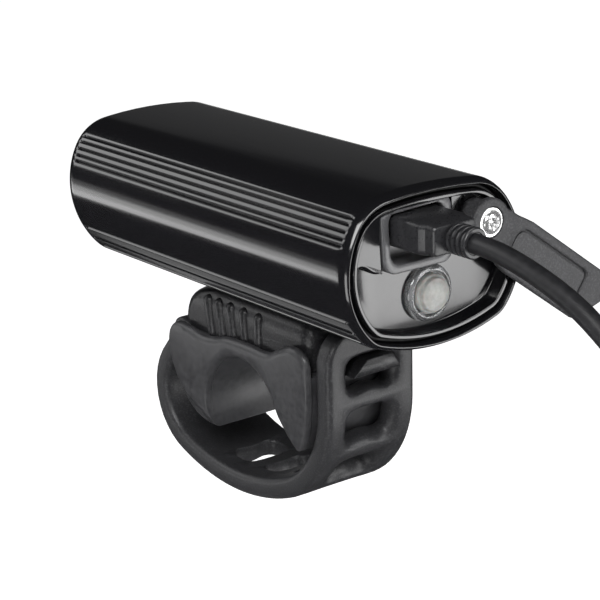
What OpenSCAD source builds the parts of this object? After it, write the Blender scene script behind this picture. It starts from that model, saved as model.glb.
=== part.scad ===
// Bike headlight: an extruded lamp body on a swivelling handlebar clamp,
// with its charging lead plugged in at the rear.
// Origin on the handlebar axis under the lamp. X along the bar, Y forward, Z up. Millimetres.

/* [Body] */
// Length of the extruded body
body_length = 98; // [92:1:110]
// Width of the body
body_width = 45.8; // [43:0.2:50]
// Height of the body
body_height = 33; // [32:0.5:38]
// Wall of the body
body_wall = 1.5; // [1.2:0.1:1.8]
// Radius of the crowned top and bottom
crown_radius = 46; // [42:1:70]
// Radius of the upper part of each side
upper_side_radius = 18.5; // [17.5:0.5:20]
// Radius of the lower part of each side
lower_side_radius = 17.5; // [17:0.5:19]
// Radius of the upper edges
upper_edge_radius = 10; // [8:0.5:11]
// Radius of the lower edges
lower_edge_radius = 6; // [4:0.5:8]
// Lean of the rear rim in degrees
rear_rake = 4.5; // [2:0.5:6]
// Lean of the front rim in degrees
front_rake = 7.5; // [2:0.5:9]
// Depth of the grooves along the sides
groove_depth = 0.45; // [0.2:0.05:0.6]
// Width of one groove
groove_width = 1.1; // [0.8:0.1:1.4]
// Length of the chamfer band at each end
end_band = 2; // [1:0.25:3]
// Inset of the chamfer at each end
end_chamfer = 0.8; // [0.3:0.1:1]

/* [Rear cap] */
// Width of the black seal round the cap
seal_width = 1; // [0.8:0.1:1.3]
// Width of the raised rim of the cap
rim_width = 0.9; // [0.7:0.1:1.2]
// Depth of the cap below the rear rim
cap_depth = 9; // [8.5:0.5:12]
// Depth of the floor of the cap
floor_depth = 3.2; // [2.8:0.1:3.6]
// Depth of the raised block beside the port
block_depth = 1; // [0.6:0.1:1.6]
// Thickness of the cap's floor
cap_floor = 2.2; // [1.8:0.1:2.4]

/* [Charging port] */
// Port centre, sideways from the middle of the body
port_x = -4.1; // [-6:0.1:-3.5]
// Port centre above the middle of the body
port_z = 6.85; // [6.5:0.05:7.2]
// Width of the port opening
port_width = 14.1; // [13:0.1:14.6]
// Height of the port opening
port_height = 10.3; // [9.4:0.1:10.6]
// Wall of the frame round the port
port_wall = 1.8; // [1.4:0.1:1.9]
// Depth of the port below the rear rim
port_depth = 5.8; // [5:0.1:6.4]

/* [Button and cover] */
// Button centre below the middle of the body
button_drop = 6.2; // [6.1:0.1:6.4]
// Radius of the button
button_radius = 4; // [3.6:0.1:4.1]
// Outer radius of the clear ring round the button
bezel_radius = 5.8; // [5.6:0.1:5.9]
// Travel of the button
button_travel = 0.8; // [0.4:0.1:0.8]
// Cover screw, sideways from the middle of the body
screw_x = 11.8; // [11.4:0.1:12.2]
// Cover screw above the middle of the body
screw_z = 6.7; // [6.2:0.1:7]
// Radius of the screw head
screw_head_radius = 3.05; // [2.8:0.05:3.2]
// Angle of the open cover seen from behind, below the horizontal
cover_angle = 35.5; // [35:0.5:40]
// Length of the cover from the screw to its far end
cover_length = 39; // [36:0.5:42]
// Width of the cover
cover_width = 11.8; // [11.2:0.1:12.4]
// Thickness of the cover
cover_thickness = 1.7; // [1.5:0.1:2.2]
// Radius of the boss at the screw
boss_radius = 5.2; // [4.8:0.1:5.6]

/* [Front and inside] */
// Thickness of the front window
lens_thickness = 2.4; // [2:0.1:3]
// Radius of each collimator
optic_radius = 8.5; // [7:0.1:9]
// Distance between the two collimators
optic_pitch = 18.6; // [18.2:0.1:20]
// Radius of one cell
cell_radius = 9.2; // [8.5:0.1:9.25]
// Length of one cell
cell_length = 50; // [40:0.5:50]
// Thickness of the circuit boards
board_thickness = 1.6; // [1:0.1:2]

/* [Clamp] */
// Diameter of the handlebar that the clamp fits
bar_diameter = 25.4; // [24:0.2:27]
// Rubber between the bar and the pedestal
pad_cover = 1.7; // [1.5:0.1:2.5]
// Width of the saddle pad
pad_width = 26.8; // [26:0.1:30]
// Height of the pedestal
base_height = 10.1; // [9.6:0.1:12]
// Width of the pedestal
base_width = 21.6; // [20.6:0.1:22]
// Pedestal in front of the bar axis
base_front = 25.2; // [25:0.1:26]
// Pedestal behind the bar axis
base_rear = 21.5; // [20:0.5:22]
// Lamp centre in front of the bar axis
light_y = 1; // [0:0.5:3]
// Radius of the pivot boss under the lamp
pivot_radius = 3.5; // [3:0.1:3.8]
// Radius of the disc under the lamp
foot_radius = 8.5; // [8:0.1:9]
// Depth of the disc's seat in the pedestal
foot_sink = 2.2; // [2:0.1:2.6]
// Gap between the lamp and the pedestal
swivel_gap = 0.5; // [0.4:0.05:0.8]

/* [Strap] */
// Width of the strap
strap_width = 23; // [22:0.1:23.4]
// Thickness of the strap
strap_thickness = 4.6; // [4:0.1:5]
// Strap behind the bar axis
strap_rear = 25.7; // [25:0.1:27]
// Strap in front of the bar axis
strap_front = 33.2; // [32:0.1:35]
// Strap pin in front of the bar axis
pin_y = 23.8; // [23:0.1:24.5]
// Radius of the strap at the rear
strap_rear_radius = 22; // [20:0.5:24]
// Radius of the strap under the bar
strap_low_radius = 50; // [46:1:60]
// Radius of the strap at the front
strap_front_radius = 12; // [11:0.5:13]
// Width of a slot in the strap
slot_width = 13.4; // [13.2:0.1:14]
// Height of a slot in the strap
slot_height = 8.4; // [8.2:0.1:8.8]
// Distance between slots along the strap
slot_pitch = 11.4; // [11:0.1:12]
// Radius of the strap pin
pin_radius = 1.5; // [1.2:0.1:1.7]

/* [Charging lead] */
// Width of the plug
plug_width = 12.6; // [11.6:0.1:12.8]
// Height of the plug
plug_height = 6.3; // [6:0.1:6.6]
// Plug centre, sideways from the middle of the body
plug_x = -3.9; // [-4.2:0.1:-3.8]
// Plug centre above the middle of the body
plug_z = 8.1; // [8:0.05:8.3]
// Diameter of the cable
cable_diameter = 4; // [3.5:0.1:4.2]
// Radius of the tied coil at the middle of the cable
coil_radius = 22; // [20:0.5:24]
// Turns of the tied coil
coil_turns = 3; // [2:1:4]
// Distance between turns of the coil
coil_pitch = 4.9; // [4.7:0.1:6]

/* [Hidden] */
$fn = 48;
fit = 0.1;
bar_radius = bar_diameter / 2;
base_z = bar_radius + pad_cover;
base_top = base_z + base_height;
light_z = base_top + swivel_gap + body_height / 2;
rear_y = -body_length / 2;
front_y = body_length / 2;

// Section of the body: arcs placed by the bearing of their outward normal from +Z
crown_top = [0, body_height / 2 - crown_radius];
crown_low = [0, crown_radius - body_height / 2];
side_up = [body_width / 2 - upper_side_radius, 0];
side_low = [body_width / 2 - lower_side_radius, 0];
plain = [for (i = [0:36]) 5 * i];
grooves = [38, 51, 60, 66, 111, 117, 123, 129];

function direction(a) = [sin(a), cos(a)];
function bearing(v) = atan2(v[0], v[1]);
function meet(c1, r1, c2, r2) =
    let (v = c2 - c1, d = norm(v), u = v / d)
    let (a = (r1 * r1 - r2 * r2 + d * d) / (2 * d), h = sqrt(r1 * r1 - a * a))
    c1 + a * u + h * [abs(u[1]), -sign(u[1]) * u[0]];
function edge_r(r, d) = max(r - d, 0.6);
function upper_edge(d, r) = meet(crown_top, crown_radius - d - r, side_up, upper_side_radius - d - r);
function lower_edge(d, r) = meet(crown_low, crown_radius - d - r, side_low, lower_side_radius - d - r);
function section_point(a, d) =
    let (ru = edge_r(upper_edge_radius, d), rl = edge_r(lower_edge_radius, d))
    let (cu = upper_edge(d, ru), cl = lower_edge(d, rl))
    a <= bearing(cu - crown_top) ? crown_top + (crown_radius - d) * direction(a) :
    a <= bearing(cu - side_up) ? cu + ru * direction(a) :
    a <= 90 ? side_up + (upper_side_radius - d) * direction(a) :
    a <= bearing(cl - side_low) ? side_low + (lower_side_radius - d) * direction(a) :
    a <= bearing(cl - crown_low) ? cl + rl * direction(a) :
    crown_low + (crown_radius - d) * direction(a);
function both_sides(half) =
    concat(half, [for (i = [len(half) - 2:-1:1]) [-half[i][0], half[i][1]]]);

// Grooves: rounded cuts that end in the chamfer bands
function sorted(v) = len(v) < 2 ? v :
    let (p = v[floor(len(v) / 2)])
    concat(sorted([for (x = v) if (x < p) x]), [for (x = v) if (x == p) x],
        sorted([for (x = v) if (x > p) x]));
function groove_span(a) = groove_width / 2 / norm(section_point(a + 0.5, 0) - section_point(a - 0.5, 0));
function groove_cut(a) = groove_depth * max([for (g = grooves) max(0, 1 - pow((a - g) / groove_span(g), 2))]);
tube_angles = sorted(concat(
    [for (a = plain) if (min([for (g = grooves) abs(a - g) / groove_span(g)]) > 1.15) a],
    [for (g = grooves, s = [-1, -0.55, 0, 0.55, 1]) g + s * groove_span(g)]));
function tube_ring(d, y, rake, cut) =
    [for (p = both_sides([for (a = tube_angles) section_point(a, d + cut * groove_cut(a))]))
        [p[0], y + tan(rake) * p[1], p[1]]];

module section(d) polygon(both_sides([for (a = plain) section_point(a, d)]));

// Placing
module in_light() translate([0, light_y, light_z]) children();
module along_y(y0, y1) translate([0, y1, 0]) rotate([90, 0, 0]) linear_extrude(y1 - y0) children();
module along_x(x0, x1) translate([x0, 0, 0]) rotate([90, 0, 90]) linear_extrude(x1 - x0) children();
module turned_y(x, z) translate([x, 0, z]) rotate([90, 0, 0]) rotate_extrude() children();
module rounded(w, h, r) {
    square([w - 2 * r, h], center = true);
    square([w, h - 2 * r], center = true);
    for (sx = [-1, 1], sz = [-1, 1]) {
        translate([sx * (w / 2 - r), sz * (h / 2 - r)]) circle(r);
    }
}
module behind_rear(depth) translate([0, rear_y + depth, 0]) rotate([-rear_rake, 0, 0])
    translate([-60, -60, -60]) cube([120, 60, 120]);
module before_front(depth) translate([0, front_y - depth, 0]) rotate([-front_rake, 0, 0])
    translate([-60, 0, -60]) cube([120, 60, 120]);
module ring_solid(rings) {
    n = len(rings[0]);
    m = len(rings);
    polyhedron([for (r = rings, p = r) p],
        [for (j = [0:m - 1], i = [0:n - 1])
            let (k = (j + 1) % m, h = (i + 1) % n)
            each [[j * n + i, j * n + h, k * n + i], [k * n + i, j * n + h, k * n + h]]]);
}
module tube_solid(rings) {
    n = len(rings[0]);
    m = len(rings);
    polyhedron([for (r = rings, p = r) p],
        concat([for (j = [0:m - 2], i = [0:n - 1])
            let (h = (i + 1) % n)
            each [[j * n + i, j * n + h, (j + 1) * n + i], [(j + 1) * n + i, j * n + h, (j + 1) * n + h]]],
            [[for (i = [n - 1:-1:0]) i]], [[for (i = [0:n - 1]) (m - 1) * n + i]]));
}

// Body of the lamp
screw_places = [-5.6 - light_y, 5.6 - light_y];
module body_tube() color("#1b1b1d") in_light() difference() {
    ring_solid([
        tube_ring(end_chamfer, rear_y, rear_rake, 0),
        tube_ring(0, rear_y + end_band, rear_rake, 1),
        tube_ring(0, front_y - end_band, front_rake, 1),
        tube_ring(end_chamfer, front_y, front_rake, 0),
        tube_ring(body_wall, front_y, front_rake, 0),
        tube_ring(body_wall, rear_y, rear_rake, 0)]);
    for (y = screw_places) {
        translate([0, y, -body_height / 2 - 1]) cylinder(r = 1.3, h = body_wall + 2);
    }
}

// Rear cap, its seal and what it carries
cap_inset = body_wall + seal_width;
cap_in_y = rear_y + cap_depth;
floor_y = rear_y + floor_depth;
port_floor_y = rear_y + port_depth;
board_y = cap_in_y + 2;
block_z = port_z - port_height / 2 - port_wall;
module port_outline(grow) intersection() {
    translate([port_x, port_z])
        rounded(port_width + 2 * (port_wall + grow), port_height + 2 * (port_wall + grow), 3);
    section(cap_inset + 0.5 - grow);
}
module rear_cap() color("#151517") in_light() difference() {
    union() {
        along_y(rear_y - 3, cap_in_y) section(cap_inset);
        along_y(cap_in_y - 1.4, cap_in_y) section(body_wall + fit);
        for (x = [-13, 13]) {
            along_y(cap_in_y - 1, board_y) translate([x, -7]) circle(1.6);
        }
    }
    behind_rear(0.4);
    difference() {
        along_y(rear_y - 9, floor_y) section(cap_inset + rim_width);
        along_y(rear_y - 9, floor_y + 1) translate([port_x - 60, block_z]) square(60);
    }
    intersection() {
        behind_rear(block_depth);
        along_y(rear_y - 9, floor_y + 1) section(cap_inset + rim_width);
    }
    difference() {
        along_y(floor_y + cap_floor, cap_in_y + 1) section(cap_inset + 1.6);
        along_y(floor_y, cap_in_y + 2) translate([screw_x, screw_z]) circle(3.2);
        for (x = [-13, 13]) {
            along_y(floor_y, board_y + 1) translate([x, -7]) circle(1.6);
        }
    }
    along_y(rear_y - 9, cap_in_y + 1) port_outline(fit / 2);
    along_y(rear_y - 9, cap_in_y + 1) translate([0, -button_drop]) circle(button_radius + fit);
    along_y(rear_y - 9, floor_y + 0.4) translate([0, -button_drop]) circle(bezel_radius + fit / 2);
    along_y(rear_y - 9, cap_in_y - 0.8) translate([screw_x, screw_z]) circle(1.5);
}
module rear_seal() color("#0d0d0e") in_light() difference() {
    along_y(rear_y - 3, cap_in_y - 1.45) difference() {
        section(body_wall + 0.03);
        section(cap_inset - 0.03);
    }
    behind_rear(2);
}
module port_frame() color("#222224") in_light() difference() {
    along_y(rear_y - 3, port_floor_y + 1.8) port_outline(0);
    behind_rear(0.25);
    along_y(rear_y - 9, port_floor_y) translate([port_x, port_z]) rounded(port_width, port_height, 2.4);
    along_y(rear_y, board_y) translate([plug_x, plug_z]) square([8, 3.3], center = true);
}
module usb_receptacle() color("#b9bbc0") in_light() {
    difference() {
        along_y(port_floor_y, board_y) translate([plug_x, plug_z]) square([7.6, 2.8], center = true);
        along_y(port_floor_y - 1, board_y - 0.5) translate([plug_x, plug_z]) square([7, 2], center = true);
    }
    along_y(port_floor_y + 0.6, board_y - 0.4) translate([plug_x, plug_z]) square([3.8, 0.6], center = true);
}
module main_board() color("#1e5a38") in_light()
    along_y(board_y, board_y + board_thickness) intersection() {
        section(cap_inset + 1.2);
        square([body_width, body_height - 9], center = true);
    }
switch_y = floor_y + cap_floor + 0.7 + button_travel;
module tact_switch() color("#3a3a3c") in_light() {
    along_y(switch_y + 0.9, board_y) translate([0, -button_drop]) square([6, 6], center = true);
    along_y(switch_y + 0.1, switch_y + 1) translate([0, -button_drop]) circle(1.7);
}
module button_bezel() color("#c9d0d6") in_light() turned_y(0, -button_drop) polygon([
    [button_radius + 0.3, -floor_y - 0.4], [bezel_radius, -floor_y - 0.4], [bezel_radius, -floor_y + 0.5],
    [bezel_radius - 0.5, -floor_y + 1.3], [bezel_radius - 1.2, -floor_y + 1.6],
    [button_radius + 0.3, -floor_y + 1.1]]);
module button_cap() color("#b8b8b3") in_light() turned_y(0, -button_drop) polygon([
    [0, -floor_y - cap_floor - 0.6], [button_radius + 0.8, -floor_y - cap_floor - 0.6],
    [button_radius + 0.8, -floor_y - cap_floor - 0.05], [button_radius, -floor_y - cap_floor - 0.05],
    [button_radius, -floor_y + 1.9], [button_radius - 0.2, -floor_y + 2.1],
    [button_radius - 0.5, -floor_y + 2.1], [button_radius - 0.6, -floor_y + 2.7],
    [button_radius - 0.9, -floor_y + 3], [0, -floor_y + 3.2]]);

// Port cover, swung aside on its screw
cover_in_y = rear_y - 0.95;
cover_out_y = cover_in_y - cover_thickness;
cover_v = -0.9;
seat_y = cover_out_y + 1.5;
cover_low = cover_v - cover_width / 2 - 0.5;
module cover_outline() {
    circle(boss_radius);
    translate([0, cover_v - cover_width * 0.4]) square([cover_length / 2, cover_width * 0.8]);
    difference() {
        translate([cover_length / 2 + 2.5, cover_v]) rounded(cover_length - 5, cover_width, 3.5);
        polygon([[cover_length + 0.3, 0.5], [cover_length - 5.7, cover_low], [cover_length + 6, cover_low],
            [cover_length + 6, 0.5]]);
    }
}
module port_cover() color("#3c3c3f") in_light() difference() {
    union() {
        along_y(cover_out_y, cover_in_y) translate([screw_x, screw_z]) rotate(-cover_angle) cover_outline();
        along_y(cover_in_y - 0.1, floor_y - fit) translate([screw_x, screw_z]) circle(boss_radius - 1.2);
        along_y(cover_in_y, cover_in_y + 3) translate([screw_x, screw_z]) rotate(-cover_angle)
            translate([screw_x - port_x + 3.2, screw_z - port_z]) rounded(5.8, port_height - 2.1, 1.5);
    }
    along_y(cover_out_y - 1, seat_y) translate([screw_x, screw_z]) circle(screw_head_radius + 0.4);
    along_y(cover_out_y - 1, cap_in_y) translate([screw_x, screw_z]) circle(1.55);
    along_y(cover_out_y - 1, cover_out_y + 0.5) translate([screw_x, screw_z]) rotate(-cover_angle)
        translate([19.6, cover_v]) rounded(24, cover_width - 3.6, 1.5);
}
module cover_screw() color("#cfd2d6") in_light() difference() {
    turned_y(screw_x, screw_z) polygon([
        [0, -cap_in_y + 1], [1.47, -cap_in_y + 1], [1.47, -seat_y + fit], [screw_head_radius, -seat_y + fit],
        [screw_head_radius, -seat_y + 0.8], [screw_head_radius - 0.3, -seat_y + 1.5],
        [screw_head_radius - 1, -seat_y + 2], [0, -seat_y + 2.2]]);
    along_y(seat_y - 3, seat_y - 0.8) translate([screw_x, screw_z]) {
        circle(1.15);
        for (a = [0:60:300]) {
            rotate(a) translate([1.2, 0]) circle(0.42);
        }
    }
}

// Front of the lamp
lens_y = front_y - 7;
gasket_y = lens_y - lens_thickness;
optic_y = gasket_y - 1.1;
led_y = optic_y - 8.8;
sink_y = led_y - board_thickness;
module front_bezel() color("#161618") in_light() difference() {
    along_y(lens_y, front_y + 5) difference() {
        section(body_wall + fit);
        section(body_wall + 3);
    }
    before_front(1.2);
}
module front_lens() color("#dfe6ea") in_light() along_y(gasket_y, lens_y) section(body_wall + 0.2);
module lens_gasket() color("#101011") in_light() along_y(gasket_y - 1, gasket_y) difference() {
    section(body_wall + 0.2);
    section(body_wall + 2);
}
module optic(side) translate([0, light_y, light_z]) turned_y(side * optic_pitch / 2, 0) polygon([
    [2.6, -optic_y + 8.8], [4, -optic_y + 8.8], [optic_radius, -optic_y + 1.2], [optic_radius, -optic_y],
    [0, -optic_y], [0, -optic_y + 5.4], [2.6, -optic_y + 5.8]]);
module optic_left() color("#e4eaee") optic(-1);
module optic_right() color("#e4eaee") optic(1);
module led_board() color("#e8e8e4") in_light() along_y(sink_y, led_y) section(body_wall + 1.5);
module led(side) in_light() {
    along_y(led_y, led_y + 0.7) translate([side * optic_pitch / 2, 0]) square(3.4, center = true);
    along_y(led_y + 0.6, led_y + 1.1) translate([side * optic_pitch / 2, 0]) circle(1.4);
}
module led_left() color("#f3e9a8") led(-1);
module led_right() color("#f3e9a8") led(1);
module heat_sink() color("#a9acb0") in_light() along_y(sink_y - 4, sink_y) section(body_wall + 0.05);

// Cells and their holder
bar_y = sink_y - 4;
cell_y = bar_y - 0.5;
contact_y = cell_y - cell_length;
module bus_bar() color("#c4b58a") in_light() along_y(cell_y, bar_y)
    square([2 * cell_radius + 12, 9], center = true);
module cell(side) in_light() along_y(contact_y, cell_y)
    translate([side * (cell_radius + 0.15), 0]) circle(cell_radius);
module cell_left() color("#3f6fa8") cell(-1);
module cell_right() color("#3f6fa8") cell(1);
module contact_board() color("#2a5f86") in_light() along_y(contact_y - 1, contact_y)
    square([4 * cell_radius - 2, 12], center = true);
module battery_cradle() color("#4a4a4d") in_light() difference() {
    along_y(contact_y - 1, bar_y) difference() {
        intersection() {
            section(body_wall + 0.2);
            translate([-40, -40]) square([80, 37]);
        }
        for (s = [-1, 1]) {
            translate([s * (cell_radius + 0.15), 0]) circle(cell_radius + 0.1);
        }
        translate([0, -3]) square([4 * cell_radius - 1.9, 6.4], center = true);
    }
    for (y = screw_places) {
        translate([0, y, -body_height / 2]) cylinder(r = 3, h = body_height / 2);
    }
}

// Foot under the lamp and its pivot
foot_z = base_top - foot_sink + fit;
under_z = base_top + swivel_gap;
web_z = base_z + 3.6;
module light_foot() color("#222224") difference() {
    union() {
        translate([0, 0, foot_z]) cylinder(r = foot_radius, h = under_z - foot_z + 1.2);
        translate([0, 0, web_z - fit]) cylinder(r = pivot_radius, h = foot_z - web_z + 1);
    }
    in_light() along_y(-15, 15) section(-0.02);
    translate([0, 0, web_z - 1]) cylinder(r = 1.5, h = 5);
    for (y = screw_places) {
        translate([0, y + light_y, foot_z + 0.5]) cylinder(r = 1.25, h = 5);
    }
}
module foot_screw(y) translate([0, y + light_y, under_z]) {
    translate([0, 0, -1.6]) cylinder(r = 1.22, h = body_wall + 1.8);
    translate([0, 0, body_wall + fit]) cylinder(r = 2.6, h = 1.3);
}
module foot_screw_rear() color("#b4b6ba") foot_screw(screw_places[0]);
module foot_screw_front() color("#b4b6ba") foot_screw(screw_places[1]);
module pivot_washer() color("#c2c4c8") translate([0, 0, web_z - fit - 0.8]) difference() {
    cylinder(r = 5.8, h = 0.8);
    translate([0, 0, -1]) cylinder(r = 1.6, h = 3);
}
module pivot_screw() color("#b4b6ba") translate([0, 0, web_z - fit - 0.8]) {
    translate([0, 0, -1.7]) cylinder(r = 3, h = 1.7);
    translate([0, 0, -0.5]) cylinder(r = 1.46, h = 4.8);
}

// Pedestal
pin_z = base_z - 1.7;
rib_feet = [-3.6, 0.9, 4.9, 8.9, 13];
rib_tops = [-3.7, 1.7, 6.5, 10.7, 14.5];
rib_radius = 1.25;
rib_height = base_height - 1.9;
module base_plan(grow) translate([0, (base_front - base_rear) / 2])
    rounded(base_width + 2 * grow, base_front + base_rear + 2 * grow, 4.5);
module rib(side, y0, y1) translate([side * (base_width / 2 - 0.5), y0, base_z + 0.6])
    rotate([-atan((y1 - y0) / rib_height), 0, 0]) {
        cylinder(r = rib_radius, h = norm([y1 - y0, rib_height]) - rib_radius);
        translate([0, 0, norm([y1 - y0, rib_height]) - rib_radius]) sphere(rib_radius);
    }
module mount_base() color("#202022") difference() {
    union() {
        difference() {
            intersection() {
                translate([0, 0, base_z]) linear_extrude(base_height) base_plan(0);
                along_y(-60, 60) translate([0, base_z]) polygon([
                    [-base_width / 2 - 1, -1], [base_width / 2 + 1, -1],
                    [base_width / 2 + 1, base_height - 3.4], [base_width / 2, base_height - 3.4],
                    [base_width / 2 - 0.7, base_height - 1.1],
                    [base_width / 2 - 2, base_height], [2 - base_width / 2, base_height],
                    [0.7 - base_width / 2, base_height - 1.1], [-base_width / 2, base_height - 3.4],
                    [-base_width / 2 - 1, base_height - 3.4]]);
                along_x(-60, 60) translate([0, base_z]) polygon(concat(
                    [[-base_rear - 1, -1], [base_front, -1]],
                    [for (a = [0:11.25:90]) [base_front - 15 + 15 * cos(a), base_height * sin(a)]],
                    [[2.2 - base_rear, base_height], [0.6 - base_rear, base_height - 1.3],
                        [-base_rear - 1, base_height - 4]]));
            }
            for (s = [-1, 1]) {
                along_x(s * 8.4 - 4.8, s * 8.4 + 4.8) translate([pin_y, pin_z]) circle(3.6);
            }
        }
        for (s = [-1, 1], i = [0:4]) {
            rib(s, rib_feet[i], rib_tops[i]);
        }
        along_x(-3.4, 3.4) {
            translate([pin_y, pin_z]) circle(3.2);
            polygon([[pin_y + 1, pin_z + 3.03], [pin_y - 7, base_z + 4], [pin_y - 7, base_z + 0.1],
                [pin_y - 1, pin_z - 3]]);
        }
        intersection() {
            along_x(-6.3, 6.3) translate([-strap_rear, base_z]) polygon([
                [6, 0.1], [-3.1, 0.1], [-4.2, 1.5], [-3.2, 4.4], [-2.7, 4.4], [-2.6, 3.7], [6, 3.7]]);
            along_y(-strap_rear - 9, 0) translate([0, base_z]) polygon([
                [-6, -1], [6, -1], [6, 1.4], [4.6, 3.2], [3.8, 3.9], [3.8, 9], [1, 9]]);
        }
    }
    translate([0, 0, base_z - 1]) cylinder(r = pivot_radius + 0.05, h = base_height + 2);
    translate([0, 0, base_z - 1]) cylinder(r = 6.2, h = web_z - base_z + 1);
    translate([0, 0, base_top - foot_sink]) cylinder(r = foot_radius + fit, h = foot_sink + 1);
    along_x(-6, 6) translate([pin_y, pin_z]) circle(pin_radius + 0.03);
}
module strap_pin() color("#c2c4c8") along_x(-strap_width / 2, strap_width / 2)
    translate([pin_y, pin_z]) circle(pin_radius);

// Strap: rear straight, three arcs round the bar, front straight to the pin
strap_y = -strap_rear;
strap_top = base_z + 7;
strap_low = -bar_radius - 4.5;
low_at = [7, strap_low + strap_low_radius];
function arc_centre(y, r) =
    [y, low_at[1] - sqrt(pow(strap_low_radius - r, 2) - pow(y - low_at[0], 2))];
rear_at = arc_centre(strap_y + strap_rear_radius, strap_rear_radius);
front_at = arc_centre(strap_front - strap_front_radius, strap_front_radius);
rear_turn = atan2(rear_at[1] - low_at[1], rear_at[0] - low_at[0]) + 360;
front_turn = atan2(front_at[1] - low_at[1], front_at[0] - low_at[0]) + 360;
pin_v = [pin_y, pin_z] - front_at;
front_end = 360 + atan2(pin_v[1], pin_v[0]) - acos(strap_front_radius / norm(pin_v));
function polar(c, r, a) = c + r * [cos(a), sin(a)];
function strap_side(s) = concat(
    [[strap_y - s, strap_top]],
    [for (i = [0:10]) polar(rear_at, strap_rear_radius + s, 180 + (rear_turn - 180) * i / 10)],
    [for (i = [1:5]) polar(low_at, strap_low_radius + s, rear_turn + (front_turn - rear_turn) * i / 5)],
    [for (i = [1:14])
        polar(front_at, strap_front_radius + s, front_turn + (front_end - front_turn) * i / 14)],
    [polar([pin_y, pin_z], s, front_end)]);
function reversed(v) = [for (i = [len(v) - 1:-1:0]) v[i]];
module strap_band(grow) {
    polygon(concat(strap_side(strap_thickness / 2 + grow),
        reversed(strap_side(-strap_thickness / 2 - grow))));
    translate([strap_y, strap_top]) circle(strap_thickness / 2 + grow);
    translate([pin_y, pin_z]) circle(3.2 + grow);
}
slot_start = 7.2;
slot_count = 6;
rear_length = strap_top - rear_at[1];
turn_length = strap_rear_radius * (rear_turn - 180) * PI / 180;
function slot_turn(s) = s < rear_length ? 0 :
    s < rear_length + turn_length ? (s - rear_length) / strap_rear_radius * 180 / PI :
    rear_turn - 180 + (s - rear_length - turn_length) / strap_low_radius * 180 / PI;
function slot_place(s) = s < rear_length ? [strap_y, strap_top - s] :
    s < rear_length + turn_length ? polar(rear_at, strap_rear_radius, 180 + slot_turn(s)) :
    polar(low_at, strap_low_radius, 180 + slot_turn(s));
strap_corner = 6.5;
module strap_plan() {
    corner_z = strap_top + strap_thickness / 2 - strap_corner;
    translate([-strap_width / 2, -80]) square([strap_width, corner_z + 80]);
    hull() {
        for (x = [strap_corner - strap_width / 2, strap_width / 2 - strap_corner]) {
            translate([x, corner_z]) circle(strap_corner);
        }
    }
}
module strap() color("#2b2b2d") difference() {
    intersection() {
        along_x(-strap_width / 2, strap_width / 2) strap_band(0);
        along_y(-60, 60) strap_plan();
    }
    for (i = [0:slot_count - 1]) {
        translate([0, slot_place(slot_start + i * slot_pitch)[0], slot_place(slot_start + i * slot_pitch)[1]])
            rotate([slot_turn(slot_start + i * slot_pitch), 0, 0])
            along_y(-strap_thickness, strap_thickness) rounded(slot_width, slot_height, 3.4);
    }
    along_x(-3.8, 3.8) translate([pin_y, pin_z]) circle(4.2);
    along_x(-20, 20) translate([pin_y, pin_z]) circle(pin_radius + 0.08);
}

// Saddle pad: a smooth outline round the arch over the bar, hollowed for the pedestal
function smooth(p, n) =
    let (m = len(p))
    [for (i = [0:m - 1], k = [0:n - 1])
        let (t = k / n, a = p[(i + m - 1) % m], b = p[i], c = p[(i + 1) % m], d = p[(i + 2) % m])
        0.5 * (2 * b + (c - a) * t + (2 * a - 5 * b + 4 * c - d) * t * t
            + (3 * b - a - 3 * c + d) * t * t * t)];
pad_rear = strap_thickness / 2 + 0.5 - strap_rear;
pad_points = [
    [0.87 * bar_radius, -0.49 * bar_radius], [1.27 * bar_radius, -0.28 * bar_radius],
    [pin_y + 1, base_z - 9.7], [pin_y + 2.8, base_z - 5], [pin_y + 2.2, base_z - 1.2],
    [pin_y - 0.4, base_z + 1], [pin_y - 5.3, base_z + 0.9], [pin_y - 9.8, base_z + 0.2],
    [pin_y - 14.8, base_z + 0.8], [pin_y - 18.8, base_z + 1.8], [-3, base_z + 2.1], [-9, base_z + 2],
    [-13, base_z + 3.8], [-17, base_z + 5.4], [-20.6, base_z + 4.8], [pad_rear, base_z + 2],
    [pad_rear, base_z - 8.9], [pad_rear + 1.7, -0.8], [pad_rear + 3.4, -0.19 * bar_radius],
    [pad_rear + 5.6, 0.5], [-0.9 * bar_radius, 0.5 * bar_radius], [0, 0.7 * bar_radius],
    [0.75 * bar_radius, -0.31 * bar_radius]];
module saddle_pad() color("#36363a") difference() {
    along_x(-pad_width / 2, pad_width / 2) polygon(smooth(pad_points, 3));
    along_x(-40, 40) circle(bar_radius);
    translate([0, 0, base_z]) linear_extrude(30) {
        base_plan(1);
        translate([-base_width / 2 - 1, -base_rear - 20]) square([base_width + 2, 30]);
    }
    along_x(-strap_width / 2 - 0.4, strap_width / 2 + 0.4) strap_band(0.45);
    along_x(-3.8, 3.8) {
        translate([pin_y, pin_z]) circle(3.6);
        polygon([[pin_y + 1, pin_z + 3.6], [pin_y - 8, base_z + 6], [pin_y - 8, base_z],
            [pin_y - 1.2, pin_z - 3.4]]);
    }
}

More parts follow.
